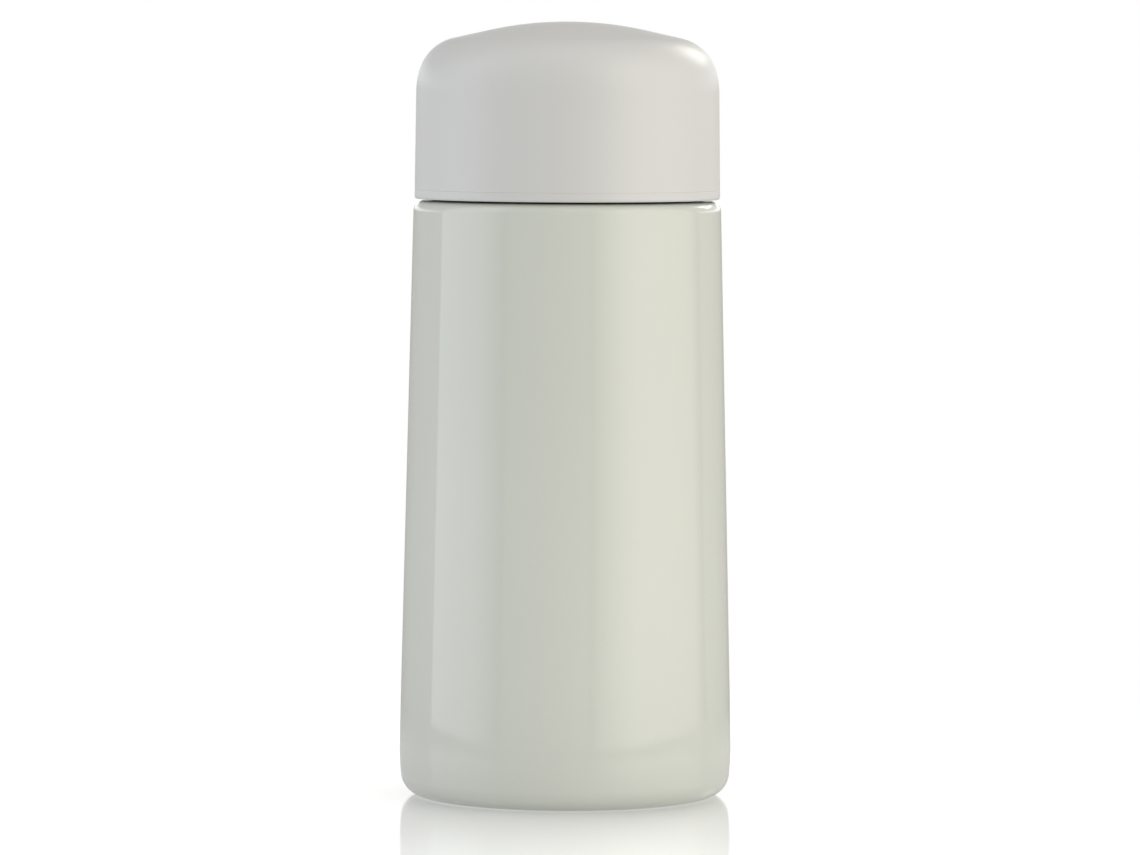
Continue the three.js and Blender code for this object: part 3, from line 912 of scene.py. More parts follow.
# %% Outer base plate
PUMP_HOLE_RADIUS, BOSS_RADIUS, BOSS_Z = 1.2, 4.4, 3.8
PRESSING_BEND = 1
PLATE_FLAT_EDGE, PLATE_EDGE_Z = 26.9, 0.9
pen = Pen(PUMP_HOLE_RADIUS, BOSS_Z)
pen.across_to(BOSS_RADIUS).arc(PRESSING_BEND, -45, step=9).line(0.9).arc(PRESSING_BEND, 45, step=9)
pen.across_to(PLATE_FLAT_EDGE).arc(PRESSING_BEND, -90, step=9).up_to(PLATE_EDGE_Z)
outer_base = pen.spin_sheet("outer_base_plate", 96, STEEL_WALL)
hand_over(outer_base, steel, "bottle", "outer_base")

# %% [markdown]
# ## The sealing bead
#
# A drop of glass closes the pumping hole. A cut ball could stand for it, but melted glass spreads
# out much flatter, so its lower face is level in the middle and curves up in a wide arc round that.

# %% Sealing bead
bead_low, bead_high = extent("vacuum_seal")
pen = Pen(0, bead_low.z)
pen.across_to(PUMP_HOLE_RADIUS).arc(5, 22)
pen.through((bead_high.x, 3.35, 0.15), (bead_high.x, bead_high.z, 0.1))
pen.to(0, bead_high.z)
vacuum_seal = pen.spin("sealing_bead", 48)
hand_over(vacuum_seal, glass, "bottle", "vacuum_seal", sharp_from=60)

# %% [markdown]
# ## The base pad
#
# A soft disc covers the plate, so that the flask doesn't ring when it is set down. A groove and four
# fine rings are moulded into it. They could be cut out afterwards, but as they run all the way round
# they are simply part of the section, and a loop draws the four rings.

# %% Base pad
pad_low, pad_high = extent("base_pad")
PAD_GROOVE_INNER, PAD_GROOVE_OUTER, PAD_GROOVE_SLANT, PAD_GROOVE_DEEP = 17.6, 21.0, 0.4, 0.45
PAD_RINGS, FIRST_RING, RING_PITCH, RING_WIDE, RING_DEEP = 4, 21.9, 1.1, 0.4, 0.25
groove_top = pad_low.z + PAD_GROOVE_DEEP
pen = Pen(0, pad_low.z)
pen.through((PAD_GROOVE_INNER, pad_low.z, 0.2), (PAD_GROOVE_INNER + PAD_GROOVE_SLANT, groove_top, 0.2))
pen.through((PAD_GROOVE_OUTER - PAD_GROOVE_SLANT, groove_top, 0.2), (PAD_GROOVE_OUTER, pad_low.z, 0.2))
for ring in range(PAD_RINGS):
    at = FIRST_RING + ring * RING_PITCH
    pen.through((at, pad_low.z), (at + RING_WIDE / 2, pad_low.z + RING_DEEP), (at + RING_WIDE, pad_low.z))
pen.through((pad_high.x, pad_low.z, 0.45), (pad_high.x, pad_high.z, 0.3), (0, pad_high.z))
base_pad = pen.spin("base_pad_moulding", 96)
hand_over(base_pad, rubber, "bottle", "base_pad")

# %% [markdown]
# ## The inner bottle
#
# The liner is drawn from its open bottom up: a slightly tapered wall, a rounded shoulder, the
# straight neck, and a lip that is rolled out over the end of the outer neck, where the two are
# welded. Like the outer shell it is one sheet, so it is an outline with a wall.

# %% Liner
MOUTH_RADIUS = 23.0
LINER_BOTTOM = (32.3, 13)
LINER_TOP = (31.0, 117.5)
LINER_SHOULDER, SHOULDER_TURN, NECK_BEND = 5, 50, 3
LIP_RADIUS = 0.9
liner_top_z = extent("inner_liner")[1].z
liner_slope = (LINER_TOP[0] - LINER_BOTTOM[0]) / (LINER_TOP[1] - LINER_BOTTOM[1])
liner_lean = math.degrees(math.atan(-liner_slope))
pen = Pen(*LINER_BOTTOM, 90 + liner_lean)
pen.up_to(LINER_TOP[1]).arc(LINER_SHOULDER, SHOULDER_TURN - liner_lean)
pen.across_to(MOUTH_RADIUS + STEEL_WALL + NECK_BEND * (1 - math.cos(math.radians(SHOULDER_TURN))))
pen.arc(NECK_BEND, -SHOULDER_TURN).up_to(liner_top_z - STEEL_WALL - LIP_RADIUS)
pen.arc(LIP_RADIUS, -90, step=12).across_to(NECK_RADIUS)
inner_liner = pen.spin_sheet("liner_sheet", ROUND, STEEL_WALL)
hand_over(inner_liner, polished, "bottle", "inner_liner")

# %% [markdown]
# ## The bottom of the inner bottle
#
# A dish with a turned-up rim is pressed from the same sheet and welded into the open end. One line
# and one arc draw it, and Solidify gives it the thickness of the sheet.

# %% Liner base
DISH_FLAT, DISH_CORNER, DISH_RIM = 26.5, 5, 1.8
pen = Pen(0, heights("liner_base")[0])
pen.across_to(DISH_FLAT).arc(DISH_CORNER, 90).line(DISH_RIM)
liner_base = pen.spin_sheet("liner_dish", ROUND, STEEL_WALL)
hand_over(liner_base, polished, "bottle", "liner_base")

# %% [markdown]
# ## The copper foil
#
# Copper foil is wrapped round the liner, in the vacuum, and throws radiant heat back. It could be a
# sheet with a Solidify modifier, but it is so plain that a thin closed section does as well. It
# isn't seen in use, but it is a finished piece, because the flask can be taken apart.

# %% Copper foil
foil_low, foil_high = heights("copper_foil")
FOIL_GAP = 0.3
FOIL_THICKNESS = 0.2
bottom_r, top_r = (
    LINER_BOTTOM[0] + liner_slope * (z - LINER_BOTTOM[1]) + FOIL_GAP for z in (foil_low, foil_high)
)
pen = Pen(bottom_r, foil_low)
pen.through((bottom_r + FOIL_THICKNESS, foil_low), (top_r + FOIL_THICKNESS, foil_high))
pen.through((top_r, foil_high)).close()
copper_foil = pen.spin("foil_wrap", ROUND)
hand_over(copper_foil, copper, "bottle", "copper_foil")

# %% [markdown]
# ## The getter
#
# A tablet of metal powder in a small pressed cup takes up the last traces of gas. It sits to one side
# of the axis. A pen can only spin about the axis, so both pieces are spun there and then moved
# inside their meshes.

# %% Getter's holder
HOLDER_RADIUS, HOLDER_WALL = 5, 0.5
getter_x = sum(corner.x for corner in extent("getter_holder")) / 2
holder_low, holder_high = heights("getter_holder")
holder_floor = holder_low + HOLDER_WALL
pen = Pen(0, holder_low)
pen.through((HOLDER_RADIUS, holder_low, 0.5), (HOLDER_RADIUS, holder_high, 0.1))
pen.through((HOLDER_RADIUS - HOLDER_WALL, holder_high, 0.1), (HOLDER_RADIUS - HOLDER_WALL, holder_floor, 0.3))
pen.to(0, holder_floor)
getter_holder = shift(pen.spin("getter_cup", 48), x=getter_x)
hand_over(getter_holder, steel, "bottle", "getter_holder")

# %% Getter's tablet
TABLET_RADIUS = 4.1
tablet_low, tablet_high = heights("getter_pellet")
pen = Pen(0, tablet_low)
pen.through((TABLET_RADIUS, tablet_low, 0.25), (TABLET_RADIUS, tablet_high, 0.25), (0, tablet_high))
getter_pellet = shift(pen.spin("getter_tablet", 48), x=getter_x)
hand_over(getter_pellet, tablet, "bottle", "getter_pellet")

# %% [markdown]
# ## The stopper's body
#
# The stopper's largest moulding is a skirt with a thread inside and another outside, and a deck
# across it. They could be two pieces joined by a Boolean, but as one closed section their walls run
# into each other with rounded corners.

# %% Skirt and deck
SKIRT_INNER, SKIRT_OUTER = 26.6, 28.4
DECK_UNDER, DECK_TOP, DECK_BORE = 147.9, 149.7, 12.4
skirt_low, skirt_high = heights("stopper_body")

pen = Pen(SKIRT_INNER, skirt_low)
pen.through(
    (SKIRT_OUTER, skirt_low, 0.3), (SKIRT_OUTER, skirt_high, 0.6), (SKIRT_INNER + 0.2, skirt_high, 0.4),
    (SKIRT_INNER - 0.2, DECK_TOP, 0.6), (23.2, DECK_TOP, 0.15), (22.9, DECK_TOP - 0.3, 0.15),
    (20.4, DECK_TOP - 0.3, 0.15), (20.1, DECK_TOP, 0.15), (DECK_BORE, DECK_TOP, 0.2),
    (DECK_BORE, DECK_UNDER, 0.2), (SKIRT_INNER, DECK_UNDER, 0.5),
)
stopper_body = pen.close(rounding=0.3).spin("stopper_moulding", ROUND)
print("plain moulding:", len(stopper_body.data.polygons), "faces")

# %% [markdown]
# ## The stopper's grip
#
# Wet fingers need something to hold, so a band of flutes is moulded into the top of the skirt. A
# cutter for each would do, but the skirt already has 144 facets: two bisects mark the band, and
# every third face in it is inset and pushed in.

# %% Grip flutes
FLUTE_LOW, FLUTE_HIGH, FLUTE_DEPTH = 146.2, 150.2, 0.35
activate(stopper_body)
bpy.ops.object.mode_set(mode="EDIT")
for level in (FLUTE_LOW, FLUTE_HIGH):
    bpy.ops.mesh.select_all(action="SELECT")
    bpy.ops.mesh.bisect(plane_co=(0, 0, level * MM), plane_no=(0, 0, 1))


def in_flute(middle, face):
    """Every third face round the outside of the skirt, between the two heights."""
    facet = math.atan2(middle.y, middle.x) / math.tau * ROUND % ROUND
    on_skirt = math.hypot(middle.x, middle.y) > SKIRT_OUTER - 0.1
    return on_skirt and FLUTE_LOW < middle.z < FLUTE_HIGH and int(facet) % 3 == 0


flutes = choose(stopper_body, "faces", in_flute)
bpy.ops.mesh.inset(thickness=0.1 * MM)
bpy.ops.transform.shrink_fatten(value=-FLUTE_DEPTH * MM)
bpy.ops.object.mode_set(mode="OBJECT")
print("grip flutes:", flutes)

# %% [markdown]
# ## The stopper's threads
#
# The inner thread pulls on the neck, so it lies a little below the neck's own. The outer one carries
# the cup. Both are joined on before the openings are cut, while the wall is still whole.

# %% Stopper threads
inner_thread = thread(
    SKIRT_INNER + 0.5, SKIRT_INNER - 0.9, meets=NECK_THREAD_Z - MATE_DROP, low=135, high=139,
)
combine(stopper_body, inner_thread, "UNION")
outer_thread = thread(SKIRT_OUTER - 0.5, SKIRT_OUTER + 1, meets=CUP_THREAD_Z, low=136.5, high=144.5)
combine(stopper_body, outer_thread, "UNION")
print("with both threads:", len(stopper_body.data.polygons), "faces")

# %% [markdown]
# ## The stopper's openings
#
# A curved slot in the deck lets the drink out, and a round hole opposite lets air in. Each cutter is
# a section with a flared top, so that it leaves a chamfered edge. The slot's is spun through part of
# a turn, and the hole's all the way.

# %% Pouring slot
SLOT_NEAR, SLOT_FAR, SLOT_SWEEP = 13.6, 18.6, math.radians(52)
FLARE = 0.35

pen = Pen(SLOT_NEAR, DECK_UNDER - 1)
pen.through((SLOT_FAR, DECK_UNDER - 1), (SLOT_FAR, DECK_TOP - FLARE), (SLOT_FAR + FLARE, DECK_TOP))
pen.through((SLOT_FAR + FLARE, DECK_TOP + 1), (SLOT_NEAR - FLARE, DECK_TOP + 1))
pen.through((SLOT_NEAR - FLARE, DECK_TOP), (SLOT_NEAR, DECK_TOP - FLARE)).close()
pen.round_off()
bpy.ops.mesh.select_all(action="SELECT")
bpy.ops.mesh.spin(steps=24, angle=SLOT_SWEEP, center=(0, 0, 0), axis=(0, 0, 1))
slot_cutter = close_ends(pen.piece)
turns = [math.atan2(v.co.y, v.co.x) for v in slot_cutter.data.vertices]
shift(slot_cutter, turn=-math.pi / 2 - (min(turns) + max(turns)) / 2)
combine(stopper_body, slot_cutter, "DIFFERENCE")
print("slot width in mm:", round(SLOT_FAR - SLOT_NEAR, 1))

# %% Air hole
AIR_HOLE_RADIUS, AIR_HOLE_Y = 1.6, 16.2
pen = Pen(0, DECK_UNDER - 1)
pen.through((AIR_HOLE_RADIUS, DECK_UNDER - 1), (AIR_HOLE_RADIUS, DECK_TOP - FLARE))
pen.through((AIR_HOLE_RADIUS + FLARE, DECK_TOP), (AIR_HOLE_RADIUS + FLARE, DECK_TOP + 1), (0, DECK_TOP + 1))
combine(stopper_body, shift(pen.spin("air_hole_cutter", 32), y=AIR_HOLE_Y), "DIFFERENCE")
hand_over(stopper_body, stopper_grey, "stopper", "stopper_body")

# %% [markdown]
# ## The barrel
#
# A tube welded under the deck plugs the neck, and a groove round it holds the gasket. The groove
# could be cut out of a plain tube, but it is turned like the rest, so it is in the section.

# %% Barrel
BARREL_INNER, BARREL_OUTER = 19.8, 22.3
GROOVE_RADIUS, GROOVE_LOW, GROOVE_HIGH = 21.1, 128.4, 131.6
barrel_low, barrel_high = heights("stopper_barrel")
pen = Pen(BARREL_INNER, barrel_low)
pen.through(
    (BARREL_OUTER, barrel_low, 0.6), (BARREL_OUTER, GROOVE_LOW, 0.15), (GROOVE_RADIUS, GROOVE_LOW, 0.15),
    (GROOVE_RADIUS, GROOVE_HIGH, 0.15), (BARREL_OUTER, GROOVE_HIGH, 0.15), (BARREL_OUTER, barrel_high, 0.3),
    (BARREL_INNER, barrel_high, 0.2),
)
stopper_barrel = pen.close(rounding=0.3).spin("barrel_tube", ROUND)
hand_over(stopper_barrel, stopper_grey, "stopper", "stopper_barrel")

# %% [markdown]
# ## The button's well
#
# The button and its spring stand in a cup pressed into the deck. Its flange rests on the deck, and a
# sleeve below guides the stem, with a pocket for the stem's seal. All of that is one moulding, so it
# is drawn in one go, up the outside and down the inside.

# %% Button well
WELL_INNER, WELL_OUTER, WELL_UNDER, WELL_FLOOR = 10.6, 12.2, 143.5, 145.0
FLANGE_RADIUS, FLANGE_UNDER, FLANGE_TOP = 13.2, 149.9, 150.7
SLEEVE_BORE, SLEEVE_OUTER, POCKET, POCKET_TOP = 2.9, 5.2, 4.3, 140.2
sleeve_low, well_high = heights("button_well")
pen = Pen(POCKET, sleeve_low)
pen.through(
    (SLEEVE_OUTER, sleeve_low, 0.2), (SLEEVE_OUTER, WELL_UNDER, 0.4), (WELL_OUTER, WELL_UNDER, 0.5),
    (WELL_OUTER, FLANGE_UNDER, 0.1), (FLANGE_RADIUS, FLANGE_UNDER, 0.15), (FLANGE_RADIUS, FLANGE_TOP, 0.4),
    (WELL_OUTER, FLANGE_TOP, 0.3), (WELL_OUTER, well_high, 0.5), (WELL_INNER, well_high, 0.4),
    (WELL_INNER, WELL_FLOOR, 0.4), (SLEEVE_BORE, WELL_FLOOR, 0.2), (SLEEVE_BORE, POCKET_TOP, 0.1),
    (POCKET, POCKET_TOP, 0.1),
)
button_well = pen.close(rounding=0.1).spin("well_cup", 96)
hand_over(button_well, stopper_grey, "stopper", "button_well")

# %% [markdown]
# ## The valve's seat
#
# The seat is pressed into the lower end of the barrel, with an O-ring in a groove round it. The
# valve's disc closes on the raised bead under it, which is why that bead's corner is rounded and
# the flange beside it lies a little higher.

# %% Valve seat
SEAT_OPENING, SEAT_TUBE_INNER, SEAT_TUBE_OUTER = 9.5, 18.1, 19.5
seat_low, seat_high = heights("valve_seat")
flange_low, flange_high = seat_low + 0.25, 124.0
pen = Pen(SEAT_OPENING, seat_low)
pen.through(
    (11.1, seat_low, 0.2), (11.5, flange_low), (21.8, flange_low, 0.35), (21.8, flange_high, 0.1),
    (SEAT_TUBE_OUTER, flange_high), (SEAT_TUBE_OUTER, 127.0, 0.1), (18.8, 127.0), (18.8, 129.0),
    (SEAT_TUBE_OUTER, 129.0, 0.1), (SEAT_TUBE_OUTER, seat_high, 0.3), (SEAT_TUBE_INNER, seat_high, 0.3),
    (SEAT_TUBE_INNER, 124.6, 0.6), (SEAT_OPENING, 124.6, 0.4),
)
valve_seat = pen.close(rounding=0.2).spin("seat_ring", 96)
hand_over(valve_seat, stopper_grey, "stopper", "valve_seat")

# %% [markdown]
# ## The seat's O-ring
#
# A ring of silicone closes the gap between the seat and the barrel. A torus would stand for it when
# it is loose, but in its groove it is squeezed flat on four sides, so it is a rounded rectangle.

# %% O-ring of the seat
O_RING_INNER, O_RING_OUTER, O_RING_LOW, O_RING_HIGH = 18.95, 19.62, 127.2, 128.8
pen = Pen(O_RING_INNER, O_RING_LOW + 0.3)
pen.through((O_RING_INNER, O_RING_LOW, 0.25), (O_RING_OUTER, O_RING_LOW, 0.3))
pen.through((O_RING_OUTER, O_RING_HIGH, 0.3), (O_RING_INNER, O_RING_HIGH, 0.25))
seat_o_ring = pen.close().spin("seat_ring_seal", ROUND)
hand_over(seat_o_ring, silicone, "stopper", "seat_o_ring", sharp_from=60)

# %% [markdown]
# ## The neck's gasket
#
# This is what keeps the drink in: a collar with two thin lips, which fold over as they are pushed
# down the neck. The lips are alike, so a loop draws them one above the other.

# %% Neck gasket
GASKET_BACK, GASKET_WAIST, LIP_TIP = 21.4, 22.05, 22.73
gasket_low, gasket_high = heights("stopper_gasket")
pen = Pen(GASKET_BACK, gasket_low)
for foot in (gasket_low, (gasket_low + gasket_high) / 2):
    pen.through((GASKET_WAIST, foot + 0.05, 0.04), (LIP_TIP, foot + 0.5, 0.1))
    pen.through((LIP_TIP, foot + 0.75, 0.1), (GASKET_WAIST, foot + 1.15, 0.15))
pen.through((GASKET_WAIST, gasket_high, 0.1), (GASKET_BACK, gasket_high))
stopper_gasket = pen.close().spin("neck_gasket", ROUND)
hand_over(stopper_gasket, silicone, "stopper_ring", "stopper_gasket", sharp_from=50)

# %% [markdown]
# ## The stem's seal
#
# The stem slides through this ring, which keeps the drink out of the button's well. It is squeezed
# in its pocket, and so it is drawn like the seat's O-ring.

# %% Stem seal
STEM_SEAL_INNER, STEM_SEAL_OUTER, STEM_SEAL_LOW, STEM_SEAL_HIGH = 2.7, 4.1, 138.4, 140.0
pen = Pen(STEM_SEAL_INNER, STEM_SEAL_LOW)
pen.through((STEM_SEAL_OUTER, STEM_SEAL_LOW, 0.3), (STEM_SEAL_OUTER, STEM_SEAL_HIGH, 0.3))
pen.through((STEM_SEAL_INNER, STEM_SEAL_HIGH, 0.3))
stem_seal = pen.close(rounding=0.3).spin("stem_ring_seal", 64)
hand_over(stem_seal, silicone, "stopper", "stem_seal", sharp_from=60)

# %% [markdown]
# ## The push button
#
# The button is a shallow cap with a dished top for the thumb, and a boss under it that grips the
# stem. The dish is one arc, which a smaller one eases into the flat rim.

# %% Push button
DISH_RADIUS, DISH_TURN, EASE_RADIUS, EDGE_RADIUS, BUTTON_WALL = 26.0, 17.5, 0.5, 1.4, 1.3
button_low, button_high = extent("push_button")
button_radius = button_high.x
dish_depth = (DISH_RADIUS + EASE_RADIUS) * (1 - math.cos(math.radians(DISH_TURN)))
BUTTON_SKIRT_LOW, BOSS_OUTER, BOSS_BORE = 150, 4.4, 2.7
ceiling = button_high.z - 1.8
pen = Pen(0, button_high.z - dish_depth)
pen.arc(DISH_RADIUS, DISH_TURN, step=2.5).arc(EASE_RADIUS, -DISH_TURN, step=4)
pen.across_to(button_radius - EDGE_RADIUS).arc(EDGE_RADIUS, -90)
pen.through(
    (button_radius, BUTTON_SKIRT_LOW, 0.2), (button_radius - BUTTON_WALL, BUTTON_SKIRT_LOW, 0.2),
    (button_radius - BUTTON_WALL, ceiling, 0.4), (BOSS_OUTER, ceiling, 0.3), (BOSS_OUTER, button_low.z, 0.2),
    (BOSS_BORE, button_low.z, 0.2), (BOSS_BORE, ceiling - 0.6), (0, ceiling - 0.6),
)
push_button = pen.spin("button_cap", 96)
hand_over(push_button, button_sage, "valve", "push_button")

# %% [markdown]
# ## The button's spring
#
# A spring is a small circle swept round the axis. The Screw modifier sweeps it without any climb, and
# each section is then lifted to its own height: slowly in the closed coil at either end, faster
# between them. The ends are ground flat, as on a real spring that has to stand straight. How far a
# press of the button would squash it is worked out, but the spring itself is not squashed.

# %% Button spring
SPRING_RADIUS, WIRE, SPRING_TURNS = 6.6, 0.9, 5.5
GROUND_OFF = 0.12
CLOSED_SHARE = 0.16  # share of the wire in each closed end coil
CLOSED_RISE = 1.05
SPRING_STEPS = 264
spring_low, spring_high = heights("button_spring")

activate(None)
bpy.ops.mesh.primitive_circle_add(
    vertices=14, radius=WIRE / 2 * MM, location=(SPRING_RADIUS * MM, 0, 0), rotation=(math.pi / 2, 0, 0),
)
button_spring = bpy.context.active_object
button_spring.name = "button_coil"
bpy.ops.object.transform_apply(location=True, rotation=True, scale=False)
modify(
    button_spring, "SCREW", angle=SPRING_TURNS * math.tau, screw_offset=0,
    steps=SPRING_STEPS, render_steps=SPRING_STEPS,
)
open_rise = spring_high - spring_low - WIRE - 2 * CLOSED_RISE
in_each = len(button_spring.data.vertices) // (SPRING_STEPS + 1)
for index, vertex in enumerate(button_spring.data.vertices):
    share = index // in_each / SPRING_STEPS
    ends = min(share / CLOSED_SHARE, 1) + max((share - 1 + CLOSED_SHARE) / CLOSED_SHARE, 0)
    middle = min(max((share - CLOSED_SHARE) / (1 - 2 * CLOSED_SHARE), 0), 1)
    lifted = vertex.co.z / MM + spring_low + WIRE / 2 + CLOSED_RISE * ends + open_rise * middle
    vertex.co.z = min(max(lifted, spring_low + GROUND_OFF), spring_high - GROUND_OFF) * MM
close_ends(button_spring)
hand_over(button_spring, wire, "stopper", "button_spring", sharp_from=50)
press = next(joint for joint in frame["joints"] if joint["name"] == "button_press")
travel = abs(press["range_m"][0]) / MM
squeezed = 1 - travel / (spring_high - spring_low)
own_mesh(button_spring)
print("spring squeezed to", round(squeezed, 3))

# %% [markdown]
# ## The valve's stem
#
# Under the seat, a silicone disc is clamped between the foot of the stem and a plate by one screw.
# The spring pulls it up against the seat. Pressing the button pushes it down, and the flask pours.
# The stem is a plain rod, so the section is kept to its foot, its hole and its rounded top.

# %% Stem
STEM_RADIUS, SCREW_HOLE, HOLE_TOP, STEM_FOOT = 2.45, 1.4, 128.5, 4.5
stem_low, stem_high = heights("valve_stem")
pen = Pen(0, HOLE_TOP)
pen.through(
    (SCREW_HOLE, HOLE_TOP), (SCREW_HOLE, stem_low, 0.15), (STEM_FOOT, stem_low, 0.15),
    (STEM_FOOT, stem_low + 1.4, 0.3), (STEM_RADIUS, stem_low + 2.6, 0.6), (STEM_RADIUS, stem_high, 0.35),
    (0, stem_high),
)
valve_stem = pen.spin("stem_rod", 64)
hand_over(valve_stem, stopper_grey, "valve", "valve_stem")

# %% [markdown]
# ## The valve's plate
#
# The plate spreads the pull of the screw over the disc. A shallow recess in its underside saves
# plastic and keeps it from sinking in as it cools, and its edge is bevelled to let the drink past.

# %% Plate
PLATE_HOLE, PLATE_RADIUS, PLATE_RECESS = 1.7, 12.2, 0.3
plate_low, plate_high = heights("valve_plate")
recess_top = plate_low + PLATE_RECESS
pen = Pen(PLATE_HOLE, plate_low)
pen.through(
    (4.2, plate_low, 0.1), (4.5, recess_top, 0.1), (9.6, recess_top, 0.1), (9.9, plate_low, 0.1),
    (10.6, plate_low, 0.2), (PLATE_RADIUS, plate_low + 0.8, 0.2), (PLATE_RADIUS, plate_high, 0.2),
    (PLATE_HOLE, plate_high, 0.1),
)
valve_plate = pen.close(rounding=0.1).spin("clamp_plate", 96)
hand_over(valve_plate, stopper_grey, "valve", "valve_plate")

# %% [markdown]
# ## The valve's disc
#
# The disc is softer than the seat it closes on, and it is thickest in a rounded ring right under the
# seat's bead. Towards the stem it is thinner, so that the stem's foot can clamp it.

# %% Seal disc
DISC_HOLE, DISC_STEP = 4.7, 0.6
disc_low, disc_high = heights("valve_seal")
pen = Pen(DISC_HOLE, disc_low)
pen.through(
    (12.4, disc_low, 0.15), (12.7, disc_low + 0.5, 0.2), (12.4, disc_low + 1.2, 0.2),
    (11.4, disc_high, 0.3), (9.6, disc_high, 0.3), (8.8, disc_high - DISC_STEP, 0.2),
    (DISC_HOLE, disc_high - DISC_STEP, 0.1),
)
valve_seal = pen.close(rounding=0.1).spin("seal_disc", 96)
hand_over(valve_seal, silicone, "valve", "valve_seal", sharp_from=50)

# %% [markdown]
# ## The screw
#
# A small pan-head screw is driven up through the plate into the stem. Its thread is so fine that
# rings stand for it. The cross recess is cut with two bars, which taper as a driver's tip does.

# %% Screw
screw_low, screw_high = heights("valve_screw")
SHANK, CORE = 1.2, 1.0
SCREW_RINGS, SCREW_PITCH = 16, 0.5
head_top = screw_low + 1.5
pen = Pen(0, screw_low)
pen.across_to(1.7).arc(1.2, 90).up_to(head_top)
pen.through((SHANK, head_top, 0.1))
for ring in range(SCREW_RINGS):
    at = head_top + 0.3 + ring * SCREW_PITCH
    pen.through((SHANK, at), (CORE, at + SCREW_PITCH / 2), (SHANK, at + SCREW_PITCH))
pen.through((0.4, screw_high, 0.1), (0, screw_high))
valve_screw = pen.spin("pan_head_screw", 48)
print("rings on the screw:", SCREW_RINGS)

# %% Screw's recess
RECESS_LONG, RECESS_WIDE, RECESS_TALL = 3, 0.6, 1.7
for quarter in range(2):
    activate(None)
    bpy.ops.mesh.primitive_cube_add(size=1, location=(0, 0, screw_low * MM))
    bar = bpy.context.active_object
    bar.scale = (RECESS_LONG * MM, RECESS_WIDE * MM, RECESS_TALL * MM)
    bpy.ops.object.transform_apply(location=True, rotation=False, scale=True)
    bpy.ops.object.mode_set(mode="EDIT")
    choose(bar, "faces", lambda middle, face: face.normal.z > 0.5)
    bpy.ops.transform.resize(value=(0.45, 0.7, 1))
    bpy.ops.object.mode_set(mode="OBJECT")
    combine(valve_screw, shift(bar, turn=quarter * math.pi / 2), "DIFFERENCE")
hand_over(valve_screw, wire, "valve", "valve_screw")

# %% [markdown]
# ## The cup's outer wall
#
# The dome, the slope, the tight shoulder and the softer curve below it run into each other without a
# kink, so they are arcs and lines drawn head to tail. Near its lower edge there is the hairline
# that the two halves of the mould leave. The inside wall is drawn back up, parallel, with every
# radius smaller by the wall, which keeps the wall even without a modifier.

# %% Cup shell
CUP_WALL = 1.6
DOME_RADIUS, DOME_TURN, SLOPE = 80.6, 12.56, 7.97
TIGHT_RADIUS, TIGHT_TURN = 10.3, 60.74
SOFT_RADIUS, SOFT_TURN = 17.05, 15.96
CUP_LIP = 0.5
HAIRLINE_UP, HAIRLINE_WIDE, HAIRLINE_DEEP = 1.75, 0.2, 0.07
cup_high = extent("cup_shell")[1].z
lip_low = cup_rim - 0.13  # the lip comes a little nearer to the ledge than the frame's plain one

pen = Pen(0, cup_high)
pen.arc(DOME_RADIUS, -DOME_TURN, step=1).line(SLOPE)
pen.arc(TIGHT_RADIUS, -TIGHT_TURN, step=4).arc(SOFT_RADIUS, -SOFT_TURN, step=2)
lean_out = math.radians(pen.heading + 90)
wall_inner = pen.r - CUP_WALL * math.cos(lean_out)
wall_top = pen.z - CUP_WALL * math.sin(lean_out)

pen.up_to(cup_rim + HAIRLINE_UP + HAIRLINE_WIDE)
hairline = pen.z - HAIRLINE_WIDE / 2
pen.through((pen.r - HAIRLINE_DEEP, hairline), (pen.r, hairline - HAIRLINE_WIDE / 2))
pen.up_to(lip_low + CUP_LIP * (1 + math.sin(lean_out)))
pen.arc(CUP_LIP, -90 - math.degrees(lean_out), step=12)

pen.through((wall_inner + (wall_top - lip_low) * math.tan(lean_out), lip_low, 0.2))
pen.heading = 90 + math.degrees(lean_out)
pen.up_to(wall_top).arc(SOFT_RADIUS - CUP_WALL, SOFT_TURN, step=4)
pen.arc(TIGHT_RADIUS - CUP_WALL, TIGHT_TURN).line(SLOPE).arc(DOME_RADIUS - CUP_WALL, DOME_TURN, step=2)
cup_shell = pen.spin("cup_wall", ROUND)
hand_over(cup_shell, cup_satin, "cup", "cup_shell")

# %% [markdown]
# ## The cup's inner wall
#
# This is the vessel that one drinks from: smooth, with a well-rounded floor, and the thread in a
# wider bore below a step. It is drawn like the outer wall, out along one side and back along the
# other.

# %% Cup liner
BOWL_RADIUS, BOWL_TURN, BOWL_WALL, BOWL_FLOOR = 9.0, 74, 1.4, 166.0
BOWL_CENTRE = (20.8, BOWL_FLOOR - BOWL_RADIUS)
LINER_SKIRT, SKIRT_TOP = 31.4, 152.4
CUP_BORE, CUP_LEDGE, LEDGE_INNER, FLANGE_EDGE, FLANGE_TALL = 29.9, 153.3, 28.3, 32.1, 1.5
liner_rim = extent("cup_liner")[0].z

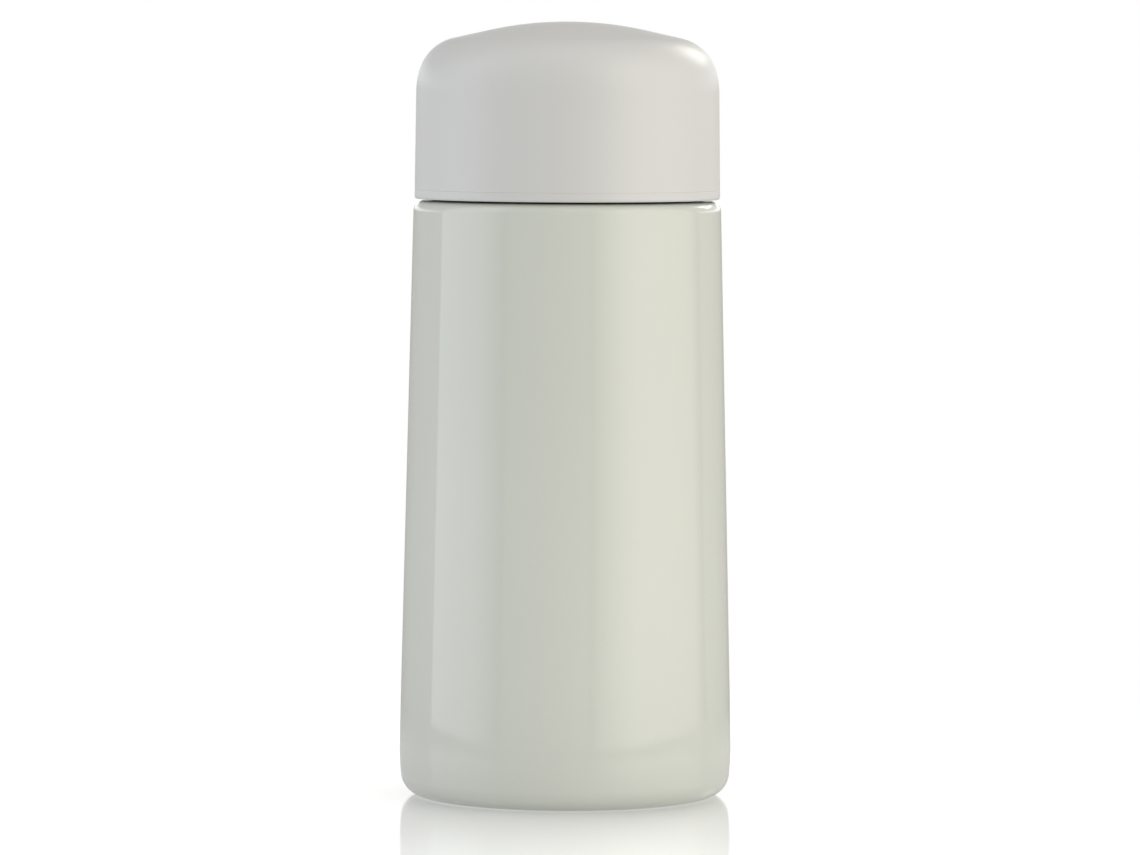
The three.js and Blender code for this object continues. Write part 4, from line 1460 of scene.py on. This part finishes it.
pen = Pen(0, BOWL_FLOOR)
pen.across_to(BOWL_CENTRE[0]).arc(BOWL_RADIUS, -BOWL_TURN)
pen.through(
    (LINER_SKIRT, SKIRT_TOP, 1.0), (LINER_SKIRT, liner_rim + FLANGE_TALL),
    (FLANGE_EDGE, liner_rim + FLANGE_TALL, 0.1), (FLANGE_EDGE, liner_rim, 0.2),
    (CUP_BORE + 0.3, liner_rim), (CUP_BORE, liner_rim + 0.4, 0.15),
    (CUP_BORE, CUP_LEDGE, 0.2), (LEDGE_INNER, CUP_LEDGE, 0.3),
)
inner_bowl = BOWL_RADIUS - BOWL_WALL
corner_turn = math.radians(90 - BOWL_TURN)
pen.to(
    BOWL_CENTRE[0] + inner_bowl * math.cos(corner_turn), BOWL_CENTRE[1] + inner_bowl * math.sin(corner_turn)
)
pen.heading = 180 - BOWL_TURN
pen.arc(inner_bowl, BOWL_TURN).to(0, BOWL_FLOOR - BOWL_WALL)
cup_liner = pen.spin("cup_bowl", ROUND)
cup_thread = thread(CUP_BORE + 0.5, CUP_BORE - 1, meets=CUP_THREAD_Z - MATE_DROP, low=135.2, high=139.7)
combine(cup_liner, cup_thread, "UNION")
hand_over(cup_liner, cup_smooth, "cup", "cup_liner")

# %% [markdown]
# ## The cup's gasket
#
# A flat ring lies against the ledge in the cup and comes down on the stopper's rim. Its lower corners
# are bevelled, so that it can be pushed in past the thread.

# %% Cup gasket
CUP_SEAL_INNER, CUP_SEAL_OUTER, CUP_SEAL_BEVEL = 26.8, 29.5, 0.4
seal_low, seal_high = heights("cup_gasket")
bevel_top = seal_low + CUP_SEAL_BEVEL
pen = Pen(CUP_SEAL_INNER, bevel_top)
pen.through(
    (CUP_SEAL_INNER + CUP_SEAL_BEVEL, seal_low, 0.15), (CUP_SEAL_OUTER - CUP_SEAL_BEVEL, seal_low, 0.15),
    (CUP_SEAL_OUTER, bevel_top, 0.15), (CUP_SEAL_OUTER, seal_high, 0.15), (CUP_SEAL_INNER, seal_high, 0.15),
)
cup_gasket = pen.close(rounding=0.15).spin("cup_ring_seal", ROUND)
hand_over(cup_gasket, silicone, "cup_ring", "cup_gasket")
